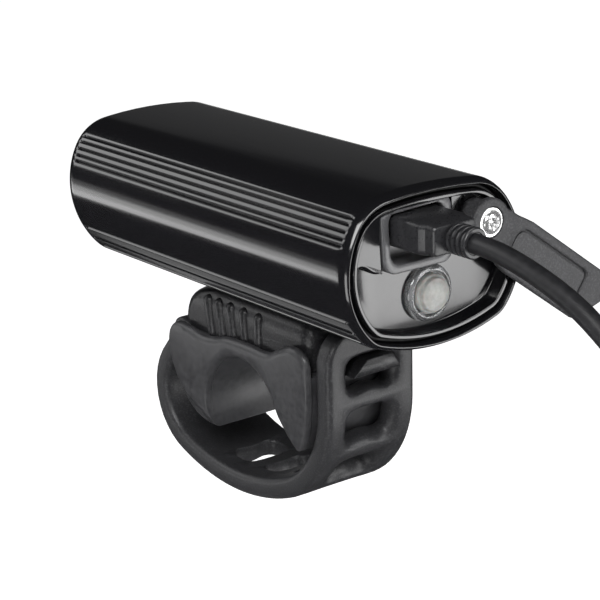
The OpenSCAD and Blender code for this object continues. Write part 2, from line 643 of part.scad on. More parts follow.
// Charging plug
plug_y = port_floor_y - 0.4;
plug_end = plug_y - 14.9;
relief_end = plug_end - 5.6;
module plug_place() translate([plug_x, light_y, light_z + plug_z]) children();
module plug_body() color("#1d1d1f") plug_place() intersection() {
    along_y(plug_end, plug_y) rounded(plug_width, plug_height, 1.3);
    linear_extrude(40, center = true) polygon([
        [-plug_width / 2, plug_y + 1], [-plug_width / 2, plug_y - 11.5],
        [0.9 - plug_width / 2, plug_y - 12.6],
        [0.9 - plug_width / 2, plug_end + 0.6], [1.5 - plug_width / 2, plug_end - 0.1],
        [plug_width / 2 - 1.5, plug_end - 0.1], [plug_width / 2 - 0.9, plug_end + 0.6],
        [plug_width / 2 - 0.9, plug_y - 12.6], [plug_width / 2, plug_y - 11.5],
        [plug_width / 2, plug_y + 1]]);
}
module plug_shell() color("#c4c6ca") plug_place() along_y(plug_y, plug_y + 4.6) difference() {
    square([6.8, 1.8], center = true);
    square([6.2, 1.2], center = true);
}
module strain_relief() color("#1d1d1f") plug_place() rotate([90, 0, 0]) rotate_extrude() polygon(concat(
    [[0, -plug_end]],
    [for (i = [0:3]) each [[2.4, -plug_end + 1.35 * i], [2.4, -plug_end + 1.35 * i + 0.6],
        [3.1, -plug_end + 1.35 * i + 0.7], [3.1, -plug_end + 1.35 * i + 1.35]]],
    [[2.9, -relief_end], [0, -relief_end]]));

// Cable: free stretch, then a tied coil, then the far plug
cable_radius = cable_diameter / 2;
lead_y = light_y + relief_end;
lead_z = light_z + plug_z;
lead_end = [lead_y - 56.8, lead_z - 47];
lead_route = concat([[lead_y, lead_z]],
    [for (p = [[-4, -0.1], [-8, -0.6], [-12, -1.4], [-16, -2.4], [-20, -3.6], [-24, -5], [-28, -6.8],
        [-32, -9.1], [-36, -11.7], [-40, -14.4], [-44, -17.3], [-47.6, -20.5], [-50.6, -24.1],
        [-53, -28.1], [-54.8, -32.5], [-56, -37.1], [-56.6, -41.9], [-56.8, -47]])
        [lead_y + p[0], lead_z + p[1]]]);
function heading(r, i) = let (v = r[min(i + 1, len(r) - 1)] - r[max(i - 1, 0)]) v / norm(v);
function flat_ring(x, p, t, n) = [for (k = [0:n - 1])
    let (a = 360 * k / n)
    [x + cable_radius * cos(a), p[0] - cable_radius * sin(a) * t[1], p[1] + cable_radius * sin(a) * t[0]]];
function lead_heading(i) = i == 0 ? [-1, 0] : i == len(lead_route) - 1 ? [0, -1] : heading(lead_route, i);
module cable_lead() color("#38383b") tube_solid([for (i = [0:len(lead_route) - 1])
    flat_ring(plug_x, lead_route[i], lead_heading(i), 10)]);

coil_steps = 24 * coil_turns;
coil_z = lead_end[1] - cable_diameter;
coil_y = lead_end[0] - coil_radius;
tail_x = plug_x - coil_pitch * coil_turns;
tail_z = coil_z - cable_diameter;
function coil_point(i) =
    [plug_x - coil_pitch * i / 24, coil_y + coil_radius * cos(15 * i), coil_z - coil_radius * sin(15 * i)];
function coil_ring(p, b) = [for (k = [0:5])
    let (a = 60 * k + 30)
    p + cable_radius * [cos(a), sin(a) * cos(b), -sin(a) * sin(b)]];
coil_gap = min([for (i = [0:coil_steps], k = [i + 12:coil_steps])
    if (k <= coil_steps) norm(coil_point(i) - coil_point(k))]) - cable_diameter;
module cable_coil() color("#38383b") {
    tube_solid(concat([coil_ring([plug_x, lead_end[0], lead_end[1]], 0)],
        [for (i = [0:coil_steps]) coil_ring(coil_point(i), 15 * i)],
        [coil_ring([tail_x, lead_end[0], tail_z], 0)]));
    echo(coil_gap = coil_gap);
}
tie_x = plug_x - coil_pitch * (coil_turns / 2 + 0.25);
module cable_tie() color("#2a2a2c") translate([tie_x, 0, coil_z + coil_radius])
    along_y(coil_y - 2.5, coil_y + 2.5) difference() {
        rounded(coil_pitch * (coil_turns - 1) + cable_diameter + 2.8, cable_diameter + 2.8, 2);
        rounded(coil_pitch * (coil_turns - 1) + cable_diameter + 0.8, cable_diameter + 0.8, 1.2);
    }
module far_plug_body() color("#1d1d1f") translate([tail_x, lead_end[0], tail_z]) {
    rotate([180, 0, 0]) rotate_extrude()
        polygon([[0, 0], [2.4, 0], [2.6, 2], [3.1, 7], [3.6, 11], [3.6, 14], [0, 14]]);
    translate([0, 0, -34]) linear_extrude(21) rounded(15.4, 7.8, 1.6);
}
module far_plug_shell() color("#c4c6ca") translate([tail_x, lead_end[0], tail_z - 52.5]) difference() {
    linear_extrude(18.5) square([12, 4.5], center = true);
    translate([0, 0, -1]) linear_extrude(18.5) square([11.4, 3.9], center = true);
    for (x = [-3, 3]) {
        translate([x, 0, 5]) cube([2.4, 9, 2.4], center = true);
    }
}

mount_base();
saddle_pad();
strap_pin();
strap();
light_foot();
pivot_washer();
pivot_screw();
foot_screw_front();
foot_screw_rear();
body_tube();
rear_cap();
rear_seal();
port_frame();
usb_receptacle();
main_board();
tact_switch();
button_bezel();
cover_screw();
cell_left();
cell_right();
battery_cradle();
bus_bar();
contact_board();
heat_sink();
led_board();
led_left();
led_right();
optic_left();
optic_right();
lens_gasket();
front_lens();
front_bezel();
button_cap();
port_cover();
plug_body();
plug_shell();
strain_relief();
cable_lead();
cable_coil();
cable_tie();
far_plug_body();
far_plug_shell();
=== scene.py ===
# %% [markdown]
# # A bike headlight on its handlebar clamp
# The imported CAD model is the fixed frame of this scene. Each part that the eye meets is modelled again over
# its CAD solid with bmesh operators, gets a procedural finish, and rides on the body that carries it. Lengths
# in this lesson are typed in millimetres, as on a drawing, and turned to metres when a piece is finished.

# %% Load the frame
from math import acos, atan2, copysign, cos, degrees, hypot, pi, radians, sin, sqrt, tan, tau

import bmesh
import bpy
from mathutils import Matrix, Vector


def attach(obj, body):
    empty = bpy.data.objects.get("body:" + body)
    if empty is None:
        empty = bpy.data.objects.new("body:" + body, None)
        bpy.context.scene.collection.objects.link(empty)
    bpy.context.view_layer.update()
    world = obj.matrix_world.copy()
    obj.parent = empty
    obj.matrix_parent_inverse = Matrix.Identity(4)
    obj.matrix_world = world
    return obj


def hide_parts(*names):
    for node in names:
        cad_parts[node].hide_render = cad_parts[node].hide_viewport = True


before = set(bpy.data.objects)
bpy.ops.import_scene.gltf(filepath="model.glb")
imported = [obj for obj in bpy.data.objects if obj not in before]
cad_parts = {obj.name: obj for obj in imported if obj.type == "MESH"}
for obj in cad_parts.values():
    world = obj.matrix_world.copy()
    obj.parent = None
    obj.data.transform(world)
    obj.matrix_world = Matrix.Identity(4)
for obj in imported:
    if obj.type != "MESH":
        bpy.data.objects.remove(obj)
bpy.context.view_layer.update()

# %% [markdown]
# ## Camera
# The photograph looks at the rear left of the lamp from a little above, through a long lens. The angles were
# measured from the body's long edges. The camera could be aimed with a constraint, but writing its matrix
# from the three axes of the view keeps the slight roll of the picture exact.

# %% Camera
CAMERA_SPOT = (-0.2512, -0.3317, 0.1547)
azimuth = radians(-37.5)
elevation = radians(17.57)
roll = radians(-1.38)
level = Vector((cos(azimuth), sin(azimuth), 0))
back = Vector((sin(azimuth) * cos(elevation), -cos(azimuth) * cos(elevation),
               sin(elevation)))
upright = back.cross(level)
view_right = level * cos(roll) + upright * sin(roll)
view_up = upright * cos(roll) - level * sin(roll)

camera_data = bpy.data.cameras.new("camera")
camera_data.lens = 123
camera_data.clip_start = 0.01
camera_data.clip_end = 60
camera = bpy.data.objects.new("camera", camera_data)
camera.matrix_world = (Matrix.Translation(CAMERA_SPOT)
                       @ Matrix((view_right, view_up, back)).transposed().to_4x4())
bpy.context.collection.objects.link(camera)
bpy.context.scene.camera = camera
print("camera lens in mm:", camera_data.lens)

# %% [markdown]
# ## Building finishes from nodes
# Every finish is one Principled shader whose constants sit on its own sockets. One function adds a node with
# its values and links. Colours are written as sRGB hex, as a paint chart would give them, and turned to the
# linear values that the shader takes.

# %% Node helpers
def linear(hex_colour):
    """An sRGB hex colour as the linear colour that shaders take."""
    channels = [int(hex_colour[i:i + 2], 16) / 255 for i in (1, 3, 5)]
    return [c / 12.92 if c <= 0.04045 else ((c + 0.055) / 1.055) ** 2.4 for c in channels] + [1]


def add_node(tree, kind, sockets=None, links=None):
    """Add a node, set its sockets, and link outputs to its inputs."""
    node = tree.nodes.new(kind)
    for name, value in (sockets or {}).items():
        node.inputs[name].default_value = value
    for name, source in (links or {}).items():
        tree.links.new(source, node.inputs[name])
    return node


def start_finish(name, sockets):
    """A material with its Principled shader set, and the object coordinates for its patterns."""
    material = bpy.data.materials.new(name)
    material.use_nodes = True
    tree = material.node_tree
    shader = tree.nodes["Principled BSDF"]
    for socket, value in sockets.items():
        shader.inputs[socket].default_value = value
    place = add_node(tree, "ShaderNodeTexCoord").outputs["Object"]
    return material, tree, shader, place


MID_NOISE = (0.3, 0.7)


def uneven_gloss(tree, shader, place, width, detail, roughness, span=(0, 1)):
    """A noise of `width` mm whose `span` drives the roughness. Returns the noise."""
    noise = add_node(tree, "ShaderNodeTexNoise", sockets={"Scale": 1000 / width, "Detail": detail},
                     links={"Vector": place}).outputs["Fac"]
    spread = add_node(tree, "ShaderNodeMapRange", links={"Value": noise}, sockets={
        "From Min": span[0], "From Max": span[1], "To Min": roughness[0], "To Max": roughness[1]})
    tree.links.new(spread.outputs["Result"], shader.inputs["Roughness"])
    return noise


def add_bump(tree, shader, noise, strength, height):
    """Raise the surface by the noise, `height` mm at most."""
    bump = add_node(tree, "ShaderNodeBump", sockets={"Strength": strength, "Distance": height / 1000},
                    links={"Height": noise})
    tree.links.new(bump.outputs["Normal"], shader.inputs["Normal"])


def grained(name, sockets, width, height, colours, roughness, detail=3.0, band=(0.35, 0.68)):
    """A moulded finish: one noise of `width` mm drives colour over `band`, roughness and a low bump."""
    material, tree, shader, place = start_finish(name, sockets)
    noise = uneven_gloss(tree, shader, place, width, detail, roughness, MID_NOISE)
    add_bump(tree, shader, noise, 1.0, height)
    ramp = add_node(tree, "ShaderNodeValToRGB", links={"Fac": noise})
    for k in (0, 1):
        ramp.color_ramp.elements[k].position = band[k]
        ramp.color_ramp.elements[k].color = linear(colours[k])
    tree.links.new(ramp.outputs["Color"], shader.inputs["Base Color"])
    return material


print("finish helpers ready")

# %% [markdown]
# ## Charging cable
# The cable is a 4 mm round PVC lead. It leaves the plug's boot straight to the rear and droops out of the
# picture. The length that the picture does not show hangs in a tied coil of three turns. A chain of mesh
# rings would do, but a curve with a round bevel stays a true cord with one length, on the CAD solids' route.

# %% Cable
# Extruded soft PVC: dark grey, a broad soft highlight along the round, and faint drawn-on unevenness
cable_pvc = grained("cable_pvc_satin", {"IOR": 1.52},
                    1.4, 0.012, ("#1b1b1d", "#242426"), (0.40, 0.50))

PLUG_X, PLUG_Z = -3.9, 49.6
LEAD_START, LEAD_REACH = -63.1, 56.8
COIL_RADIUS, COIL_PITCH, COIL_TURNS, STEPS_A_TURN = 22, 4.9, 3, 24
COIL_DROP, END_DROP = 51, 55
droop = [(0, 0), (-4, -0.1), (-8, -0.6), (-12, -1.4), (-16, -2.4), (-20, -3.6), (-24, -5), (-28, -6.8),
         (-32, -9.1), (-36, -11.7), (-40, -14.4), (-44, -17.3), (-47.6, -20.5), (-50.6, -24.1), (-53, -28.1),
         (-54.8, -32.5), (-56, -37.1), (-56.6, -41.9), (-LEAD_REACH, -47)]
route = [Vector((PLUG_X, LEAD_START + y, PLUG_Z + z)) for y, z in droop]
coil_centre = Vector((PLUG_X, LEAD_START - LEAD_REACH - COIL_RADIUS, PLUG_Z - COIL_DROP))
for step in range(COIL_TURNS * STEPS_A_TURN + 1):
    turns = step / STEPS_A_TURN
    y, z = COIL_RADIUS * cos(tau * turns), -COIL_RADIUS * sin(tau * turns)
    route.append(coil_centre + Vector((-COIL_PITCH * turns, y, z)))
route.append(Vector((PLUG_X - COIL_TURNS * COIL_PITCH, LEAD_START - LEAD_REACH, PLUG_Z - END_DROP)))

cable_curve = bpy.data.curves.new("cable", "CURVE")
cable_curve.dimensions = "3D"
cable_curve.bevel_depth = 0.002
cable_curve.bevel_resolution = 5
cable_curve.use_fill_caps = True
strand = cable_curve.splines.new("NURBS")
strand.points.add(len(route) - 1)
for point, spot in zip(strand.points, route):
    point.co = (*(spot / 1000), 1)
strand.order_u = 4
strand.use_endpoint_u = True
strand.resolution_u = 4
cable = bpy.data.objects.new("cable", cable_curve)
bpy.context.collection.objects.link(cable)
cable_curve.materials.append(cable_pvc)
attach(cable, "plug")
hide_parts("cable_lead", "cable_coil")

# %% [markdown]
# ## Modelling helpers
# Most pieces here are closed shells that run through a few outlines: a body section, a rounded rectangle, a
# strap cell. They could be typed as lists of faces, but extruding a loop of edges and moving it to the next
# outline is how a modeller works by hand, and it keeps clean quads for the highlights.

# %% Loop helpers
def ring_edges(bm, loop):
    """The edges between neighbours in a closed loop of vertices."""
    return [bm.edges.get((loop[i - 1], loop[i])) for i in range(len(loop))]


def grow(bm, loop, points):
    """Extrude a closed loop of vertices and move the new loop to the points."""
    made = bmesh.ops.extrude_edge_only(bm, edges=ring_edges(bm, loop))["geom"]
    fresh = {item for item in made if isinstance(item, bmesh.types.BMVert)}
    moved = []
    for vert, point in zip(loop, points):
        twin = next(e.other_vert(vert) for e in vert.link_edges if e.other_vert(vert) in fresh)
        twin.co = point
        moved.append(twin)
    return moved


def loft(bm, rings, ends="cap"):
    """Grow a loop through the rings, then cap both ends, join them, or leave them open."""
    first = [bm.verts.new(point) for point in rings[0]]
    for i in range(len(first)):
        bm.edges.new((first[i - 1], first[i]))
    loop = first
    for points in rings[1:]:
        loop = grow(bm, loop, points)
    if ends == "cap":
        bm.faces.new(first)
        bm.faces.new(loop)
    if ends == "join":
        bmesh.ops.bridge_loops(bm, edges=ring_edges(bm, first) + ring_edges(bm, loop))
    return first, loop


def lathe(bm, profile, x, z, base=0.0):
    """Spin a half profile of (radius, y above base) about the line along Y through x, z."""
    verts = [bm.verts.new((x + radius, base + y, z)) for radius, y in profile]
    edges = [bm.edges.new(pair) for pair in zip(verts, verts[1:])]
    bmesh.ops.spin(bm, geom=verts + edges, cent=(x, 0, z), axis=(0, 1, 0), angle=tau, steps=64,
                   use_merge=True)
    bmesh.ops.remove_doubles(bm, verts=bm.verts, dist=1e-4)


print("loop helpers ready")

# %% Outline helpers
def circle(radius, angles):
    """Points on a circle about the origin, at these angles."""
    return [Vector((radius * cos(radians(a)), radius * sin(radians(a)))) for a in angles]


def rounded_outline(corners, steps=6):
    """Corners (u, v, radius) as a closed list of points with each corner rounded."""
    points = []
    for i, (u, v, radius) in enumerate(corners):
        here = Vector((u, v))
        if radius == 0:
            points.append(here)
            continue
        before = (Vector(corners[i - 1][:2]) - here).normalized()
        after = (Vector(corners[(i + 1) % len(corners)][:2]) - here).normalized()
        half = before.angle(after) / 2
        centre = here + (before + after).normalized() * (radius / sin(half))
        start = here + before * (radius / tan(half)) - centre
        stop = here + after * (radius / tan(half)) - centre
        first = atan2(start.y, start.x)
        sweep = (atan2(stop.y, stop.x) - first + pi) % tau - pi
        for k in range(steps + 1):
            turn = first + sweep * k / steps
            points.append(centre + radius * Vector((cos(turn), sin(turn))))
    return points


def rounded_box(width, height, radius, u=0.0, v=0.0, steps=6):
    """A rounded rectangle about (u, v)."""
    a, b = width / 2, height / 2
    return rounded_outline([(u + a, v - b, radius), (u + a, v + b, radius), (u - a, v + b, radius),
                            (u - a, v - b, radius)], steps)


def inset(outline, distance):
    """The outline moved inwards; its points run anticlockwise."""
    moved = []
    for i, here in enumerate(outline):
        ahead = outline[(i + 1) % len(outline)] - outline[i - 1]
        moved.append(here + distance * Vector((-ahead.y, ahead.x)).normalized())
    return moved


def smooth_path(points, steps=4):
    """A soft Catmull-Rom curve through points, open at its ends."""
    points = [Vector(p) for p in points]
    ends = [points[0]] + points + [points[-1]]
    path = []
    for a, b, c, d in zip(ends, ends[1:], ends[2:], ends[3:]):
        for k in range(steps):
            t = k / steps
            path.append(0.5 * (2 * b + (c - a) * t + (2 * a - 5 * b + 4 * c - d) * t ** 2
                               + (3 * b - a - 3 * c + d) * t ** 3))
    return path + [points[-1]]


def at_y(outline, y, lean=0.0):
    """A flat outline stood up at y, leaning by `lean` mm for each mm of height."""
    return [Vector((p.x, y + lean * p.y, p.y)) for p in outline]


print("outline helpers ready")

# %% Finishing a piece
LIGHT = Vector((0, 1, 41.5))


def add_mesh(name, bm, material):
    """Turn a bmesh to an object in the scene."""
    mesh = bpy.data.meshes.new(name)
    bm.to_mesh(mesh)
    bm.free()
    mesh.materials.append(material)
    thing = bpy.data.objects.new(name, mesh)
    bpy.context.collection.objects.link(thing)
    return thing


def finish_piece(name, bm, body, slot, material, replaced=(), sharp=40):
    """Turn a bmesh in millimetres to an object that rides on its body."""
    bmesh.ops.recalc_face_normals(bm, faces=bm.faces)
    bmesh.ops.scale(bm, vec=(0.001, 0.001, 0.001), verts=bm.verts)
    piece = add_mesh(name, bm, material)
    piece.data.shade_smooth()
    piece.data.set_sharp_from_angle(angle=radians(sharp))
    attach(piece, body)
    if replaced:
        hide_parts(*replaced)
    print(name, "has", len(piece.data.polygons), "faces")
    return piece


def finish_lamp(name, bm, *facts, **options):
    """Finish a piece that was drawn about the lamp's own centre."""
    bmesh.ops.translate(bm, vec=LIGHT, verts=bm.verts)
    finish_piece(name, bm, *facts, **options)


print("lamp centre in mm:", list(LIGHT))

# %% [markdown]
# ## Body tube
# The body is an aluminium extrusion: a flat crown, round sides, and eight fine grooves along each side. Its
# section is six arcs that meet smoothly, so each point is found from the bearing of the surface normal. The
# grooves could be cut with booleans, but a section that already carries them, lofted from end to end, gives
# long clean quads, and the grooves can run out to points in the chamfered end bands.

# %% Section of the body
# Radii of the six arcs from top to bottom, then the heights and half width that they reach
CROWN, EDGE_UP, SIDE_UP, SIDE_LOW, EDGE_LOW, KEEL = 100, 11.5, 18, 17.5, 7.5, 47
CROWN_Z, KEEL_Z, HALF_WIDTH = 15.8, -16.5, 22.9
LEAST_EDGE = 0.6
crown_top = Vector((0, CROWN_Z - CROWN))
crown_low = Vector((0, KEEL_Z + KEEL))
side_up = Vector((HALF_WIDTH - SIDE_UP, 0))
side_low = Vector((HALF_WIDTH - SIDE_LOW, 0))


def bearing(v):
    """The angle of a direction from straight up, in degrees."""
    return degrees(atan2(v.x, v.y))


def meet(c1, r1, c2, r2):
    """The right-hand crossing of two circles."""
    v = c2 - c1
    u = v.normalized()
    along = (r1 * r1 - r2 * r2 + v.length_squared) / (2 * v.length)
    off = sqrt(r1 * r1 - along * along)
    return c1 + along * u + off * Vector((abs(u.y), -copysign(1, u.y) * u.x))


def skin(angle, depth):
    """The point of the right half of the section whose normal has this bearing, `depth` mm inside."""
    up = max(EDGE_UP - depth, LEAST_EDGE)
    low = max(EDGE_LOW - depth, LEAST_EDGE)
    edge_up = meet(crown_top, CROWN - depth - up, side_up, SIDE_UP - depth - up)
    edge_low = meet(crown_low, KEEL - depth - low, side_low, SIDE_LOW - depth - low)
    arcs = ((crown_top, CROWN - depth, bearing(edge_up - crown_top)),
            (edge_up, up, bearing(edge_up - side_up)),
            (side_up, SIDE_UP - depth, 90),
            (side_low, SIDE_LOW - depth, bearing(edge_low - side_low)),
            (edge_low, low, bearing(edge_low - crown_low)),
            (crown_low, KEEL - depth, 181))
    centre, radius = next(arc[:2] for arc in arcs if angle <= arc[2])
    return centre + radius * Vector((sin(radians(angle)), cos(radians(angle))))


print("top of the section in mm:", round(skin(0, 0).y, 2))

# %% Grooves
GROOVES = (44.3, 51.3, 57.7, 62.5, 66.8, 116, 125.6, 137)
GROOVE_HALF, GROOVE_DEPTH = 0.42, 0.75
LIP_IN, LIP_OUT = 0.92, 1.08
LIP_STEPS = (-LIP_OUT, -1.03, -0.97, -LIP_IN, -0.46, 0, 0.46, LIP_IN, 0.97, 1.03, LIP_OUT)
spans = {g: GROOVE_HALF / (skin(g + 0.5, 0) - skin(g - 0.5, 0)).length for g in GROOVES}


def groove(angle):
    """Depth of the grooves, 1 at the middle of one, with a small round at each lip."""
    for g, span in spans.items():
        t = abs(angle - g) / span
        if t < LIP_IN:
            return 1 - t
        if t < LIP_OUT:
            return (1 - LIP_IN) * ((LIP_OUT - t) / (LIP_OUT - LIP_IN)) ** 2
    return 0


plain = [a for a in range(0, 181, 2) if all(abs(a - g) > 1.3 * span for g, span in spans.items())]
cuts = [g + t * span for g, span in spans.items() for t in LIP_STEPS]
bearings = sorted(plain + cuts)
print("grooves on each side:", len(GROOVES))

# %% Rings of the body
REAR, FRONT = -49, 48.6
rear_lean = tan(radians(4.5))
front_lean = tan(radians(9))


def section(depth, cut=0.0):
    """The closed outline of the body, `depth` mm inside its skin."""
    half = [skin(a, depth + GROOVE_DEPTH * cut * groove(a)) for a in bearings]
    return half + [Vector((-p.x, p.y)) for p in half[-2:0:-1]]


def rear_rings(*steps):
    """Sections (depth, distance inside the rear end, share of the groove) in raked planes."""
    return [at_y(section(depth, *cut), REAR + below, rear_lean) for depth, below, *cut in steps]


def front_rings(*steps):
    """The same, counted from the front end."""
    return [at_y(section(depth, *cut), FRONT - below, front_lean) for depth, below, *cut in steps]


def flat_ring(depth, y):
    """The section in an upright plane."""
    return at_y(section(depth), y)


print("section has", len(section(0)), "points")

# %% Anodised aluminium
anodised, tree, shader, place = start_finish("anodised_aluminium_gloss_black", {
    "Base Color": linear("#141416"), "IOR": 1.6, "Coat Weight": 0.25,
    "Coat Roughness": 0.08})
# Polished, dyed and sealed: near black with soft-edged reflections, drawn out along the extrusion
stretch = add_node(tree, "ShaderNodeMapping", sockets={"Scale": (1, 0.03, 1)}, links={"Vector": place})
uneven_gloss(tree, shader, stretch.outputs["Vector"], 0.7, 3, (0.1, 0.16), MID_NOISE)
print("finish:", anodised.name)

# %% Body tube
BAND = ((0.7, 0.12), (0.32, 0.9), (0.08, 1.6), (0, 2.2), (0, 2.8, 0.55), (0, 3.5, 1))
bm = bmesh.new()
rings = rear_rings((1.5, 2.5), (1.28, 2.3), (1.28, 0.12), (1.18, 0), (0.86, 0), *BAND)
rings += front_rings(*BAND[::-1], (0.86, 0), (1.4, 0), (1.5, 0.12))
loft(bm, rings, ends="join")
finish_lamp("body_shell", bm, "light", "anodised_black", anodised, ["body_tube"], sharp=50)

# %% [markdown]
# ## Rear cap and seal
# The rear cover is a gloss black moulding: a thin round rim, a wall, a floor 3 mm down that carries the
# button, and a raised block on each side of the port. It could be one boolean of solids. Here one loop runs
# over the rim and down the wall, which gives the rim its round, and the floor is cut for the port with four
# planes.

# %% Gloss black moulding
gloss_black, tree, shader, place = start_finish("moulded_abs_gloss_black", {
    "Base Color": linear("#121214"), "IOR": 1.55, "Coat Weight": 0.5, "Coat Roughness": 0.06})
# Moulded in a polished tool: mirror gloss with the slight waviness of a shrunk surface
wave = uneven_gloss(tree, shader, place, 9, 1, (0.12, 0.2), MID_NOISE)
add_bump(tree, shader, wave, 0.5, 0.05)
print("finish:", gloss_black.name)

# %% Rear cap
FLOOR = -45.8
PORT_X, PORT_Z = (-12, 3.9), (0.8, 12.4)
bm = bmesh.new()
rings = [flat_ring(2.5, -40)]
rings += rear_rings((2.5, 0.7), (2.53, 0.53), (2.62, 0.42), (2.74, 0.4), (3.2, 0.4), (3.3, 0.43),
                    (3.38, 0.53), (3.4, 0.7))
rings += [flat_ring(3.4, FLOOR - 0.3), flat_ring(3.49, FLOOR - 0.09), flat_ring(3.7, FLOOR)]
floor_face = bm.faces.new(loft(bm, rings, ends="open")[1])
planes = [((x, 0, 0), (1, 0, 0)) for x in PORT_X] + [((0, 0, z), (0, 0, 1)) for z in PORT_Z]
for spot, normal in planes:
    faces = [f for f in bm.faces if f.calc_center_median().y > FLOOR - 0.001 and len(f.verts) > 4
             or f is floor_face]
    geom = set(faces)
    for face in faces:
        geom.update(face.edges)
        geom.update(face.verts)
    bmesh.ops.bisect_plane(bm, geom=list(geom), plane_co=spot, plane_no=normal, dist=1e-5)
port_faces = []
for face in bm.faces:
    middle = face.calc_center_median()
    in_port = PORT_X[0] < middle.x < PORT_X[1] and PORT_Z[0] < middle.z < PORT_Z[1]
    if in_port and abs(middle.y - FLOOR) < 0.001:
        port_faces.append(face)
bmesh.ops.delete(bm, geom=port_faces, context="FACES")
finish_lamp("rear_cover", bm, "light", "gloss_black", gloss_black, ["rear_cap"], sharp=50)

# %% Raised blocks beside the port
SCREW = Vector((11.8, 6.7))
BLOCK_BELOW, LEFT_WALL, RIGHT_WALL = 0.5, -13.05, 5


def raised_block(bm, rim, wall, free):
    """A block flush with the rim: its rim side and free edge rounded, straight against the port frame."""
    outline = rim + wall + free
    soft = [0.2] * len(rim) + [0] * len(wall) + [1] * len(free)
    rings = [at_y(outline, FLOOR + 0.2)]
    for step_in, down in ((0, 0.6), (0.1, 0.25), (0.3, 0.06), (0.6, 0), (0.75, 0)):
        moved = [p.lerp(q, k) for p, q, k in zip(outline, inset(outline, step_in), soft)]
        rings.append([Vector((p.x, REAR + BLOCK_BELOW + k * down + rear_lean * p.y, p.y))
                      for p, k in zip(moved, soft)])
    loft(bm, rings)


crest = [skin(a, 2.52) for a in range(0, 91, 2)]
left_rim = [Vector((-p.x, p.y)) for p in crest if p.x > 13.1 and p.y > 1.5]
left_free = smooth_path([(-19.9, 1.2), (-19.4, 2.2), (-18.9, 2.58), (-18.3, 2.66), (-17.3, 2.28), (-16, 1.3),
                         (-14.7, 0.75), (LEFT_WALL, 0.6)], 3)
left_wall = [Vector((LEFT_WALL, z)) for z in (4, 8, 11)]
pocket = [SCREW + p for p in circle(6.3, range(118, 171, 4))]
right_rim = [p for p in crest[::-1] if RIGHT_WALL < p.x < 8.6]
right_wall = [Vector((RIGHT_WALL, z)) for z in (12.2, 9.5)]
bm = bmesh.new()
raised_block(bm, left_wall[2:] + left_rim, [], left_free + left_wall[:2])
raised_block(bm, right_rim, right_wall, pocket[::-1])
finish_lamp("port_side_blocks", bm, "light", "gloss_black", gloss_black, sharp=50)

# %% Seal between body and cap
# Cast silicone: a dull black bead that swallows light, with a faint bloom
seal_silicone = grained("moulded_silicone_black", {"IOR": 1.43},
                        0.8, 0.01, ("#080808", "#101011"), (0.5, 0.65))
SEAL_FOOT = -41.6
bm = bmesh.new()
rings = rear_rings((1.55, 2.6), (1.62, 2.25), (1.85, 2.04), (2.15, 2.04), (2.38, 2.25), (2.45, 2.6))
loft(bm, [flat_ring(1.55, SEAL_FOOT)] + rings + [flat_ring(2.45, SEAL_FOOT)], ends="join")
finish_lamp("cap_seal", bm, "light", "seal_rubber", seal_silicone, ["rear_seal"])

# %% [markdown]
# ## Port frame
# A satin grey frame stands round the charging port, nearly flush with the rim, and its top follows the curve
# of the cap. It could be an inset cube. The outline is lofted instead, so that the small rounds on both edges
# of its face catch the light as the moulded ones do.

# %% Port frame
# Moulded in a lightly blasted tool: a grey sheen wherever it faces a lamp, with a fine even grain
frame_abs = grained("moulded_abs_satin", {"IOR": 1.55, "Coat Weight": 0.3, "Coat Roughness": 0.3},
                    0.35, 0.01, ("#464648", "#545456"), (0.28, 0.38), 4)


def under_crown(point, depth):
    """The point, lowered where it would stand outside the cap's section."""
    edge = [skin(a, depth) for a in range(0, 91, 2)]
    for a, b in zip(edge, edge[1:]):
        if a.x <= abs(point.x) <= b.x:
            limit = a.y + (b.y - a.y) * (abs(point.x) - a.x) / (b.x - a.x)
            return Vector((point.x, min(point.y, limit)))
    return point


PORT_MIDDLE = (-4.1, 6.85)
frame_outer = [under_crown(p, 3.3) for p in rounded_box(17.6, 13.8, 3, *PORT_MIDDLE, 8)]
frame_inner = rounded_box(14.1, 10.3, 2.4, *PORT_MIDDLE, 8)
rings = [at_y(frame_outer, -44)]
frame_steps = ((frame_outer, 0, 0.55), (frame_outer, 0.08, 0.36), (frame_outer, 0.28, 0.26),
               (frame_inner, -0.28, 0.26), (frame_inner, -0.08, 0.36), (frame_inner, 0, 0.6))
for outline, step_in, below in frame_steps:
    rings.append(at_y(inset(outline, step_in), REAR + below, rear_lean))
rings.append(at_y(frame_inner, -43.25))
bm = bmesh.new()
loft(bm, rings)
finish_lamp("port_surround", bm, "light", "matte_black", frame_abs, ["port_frame"], sharp=50)

# %% [markdown]
# ## Button in its clear ring
# The push button is a milky silicone disc with two fine steps, in a clear polycarbonate ring that works as a
# light guide. Both are turned shapes, so half a profile is spun about the button's axis, as on a lathe.

# %% Clear and milky finishes
clear, tree, shader, place = start_finish("clear_polycarbonate", {
    "Base Color": linear("#f4f6f8"), "IOR": 1.585, "Transmission Weight": 0.9})
# Polished polycarbonate: clear, with bright rims; the faint haze of a moulded part sits in its roughness
uneven_gloss(tree, shader, place, 3, 2, (0.02, 0.07))

# Translucent silicone: light sinks in a little, so the steps look soft
milky = grained("milky_silicone", {"IOR": 1.43, "Subsurface Weight": 0.3, "Subsurface Scale": 0.001},
                1.1, 0.004, ("#868683", "#979794"), (0.36, 0.46))
print("finishes:", clear.name, milky.name)

# %% Ring and button
BUTTON_Z = -6.2
ring_profile = ((4.3, 0.4), (5.8, 0.4), (5.8, -0.4), (5.72, -0.75), (5.45, -1.2), (5.05, -1.5),
                (4.75, -1.58), (4.55, -1.5), (4.35, -1.15), (4.3, 0.4))
bm = bmesh.new()
lathe(bm, ring_profile, 0, BUTTON_Z, FLOOR)
finish_lamp("button_ring", bm, "light", "clear", clear, ["button_bezel"])

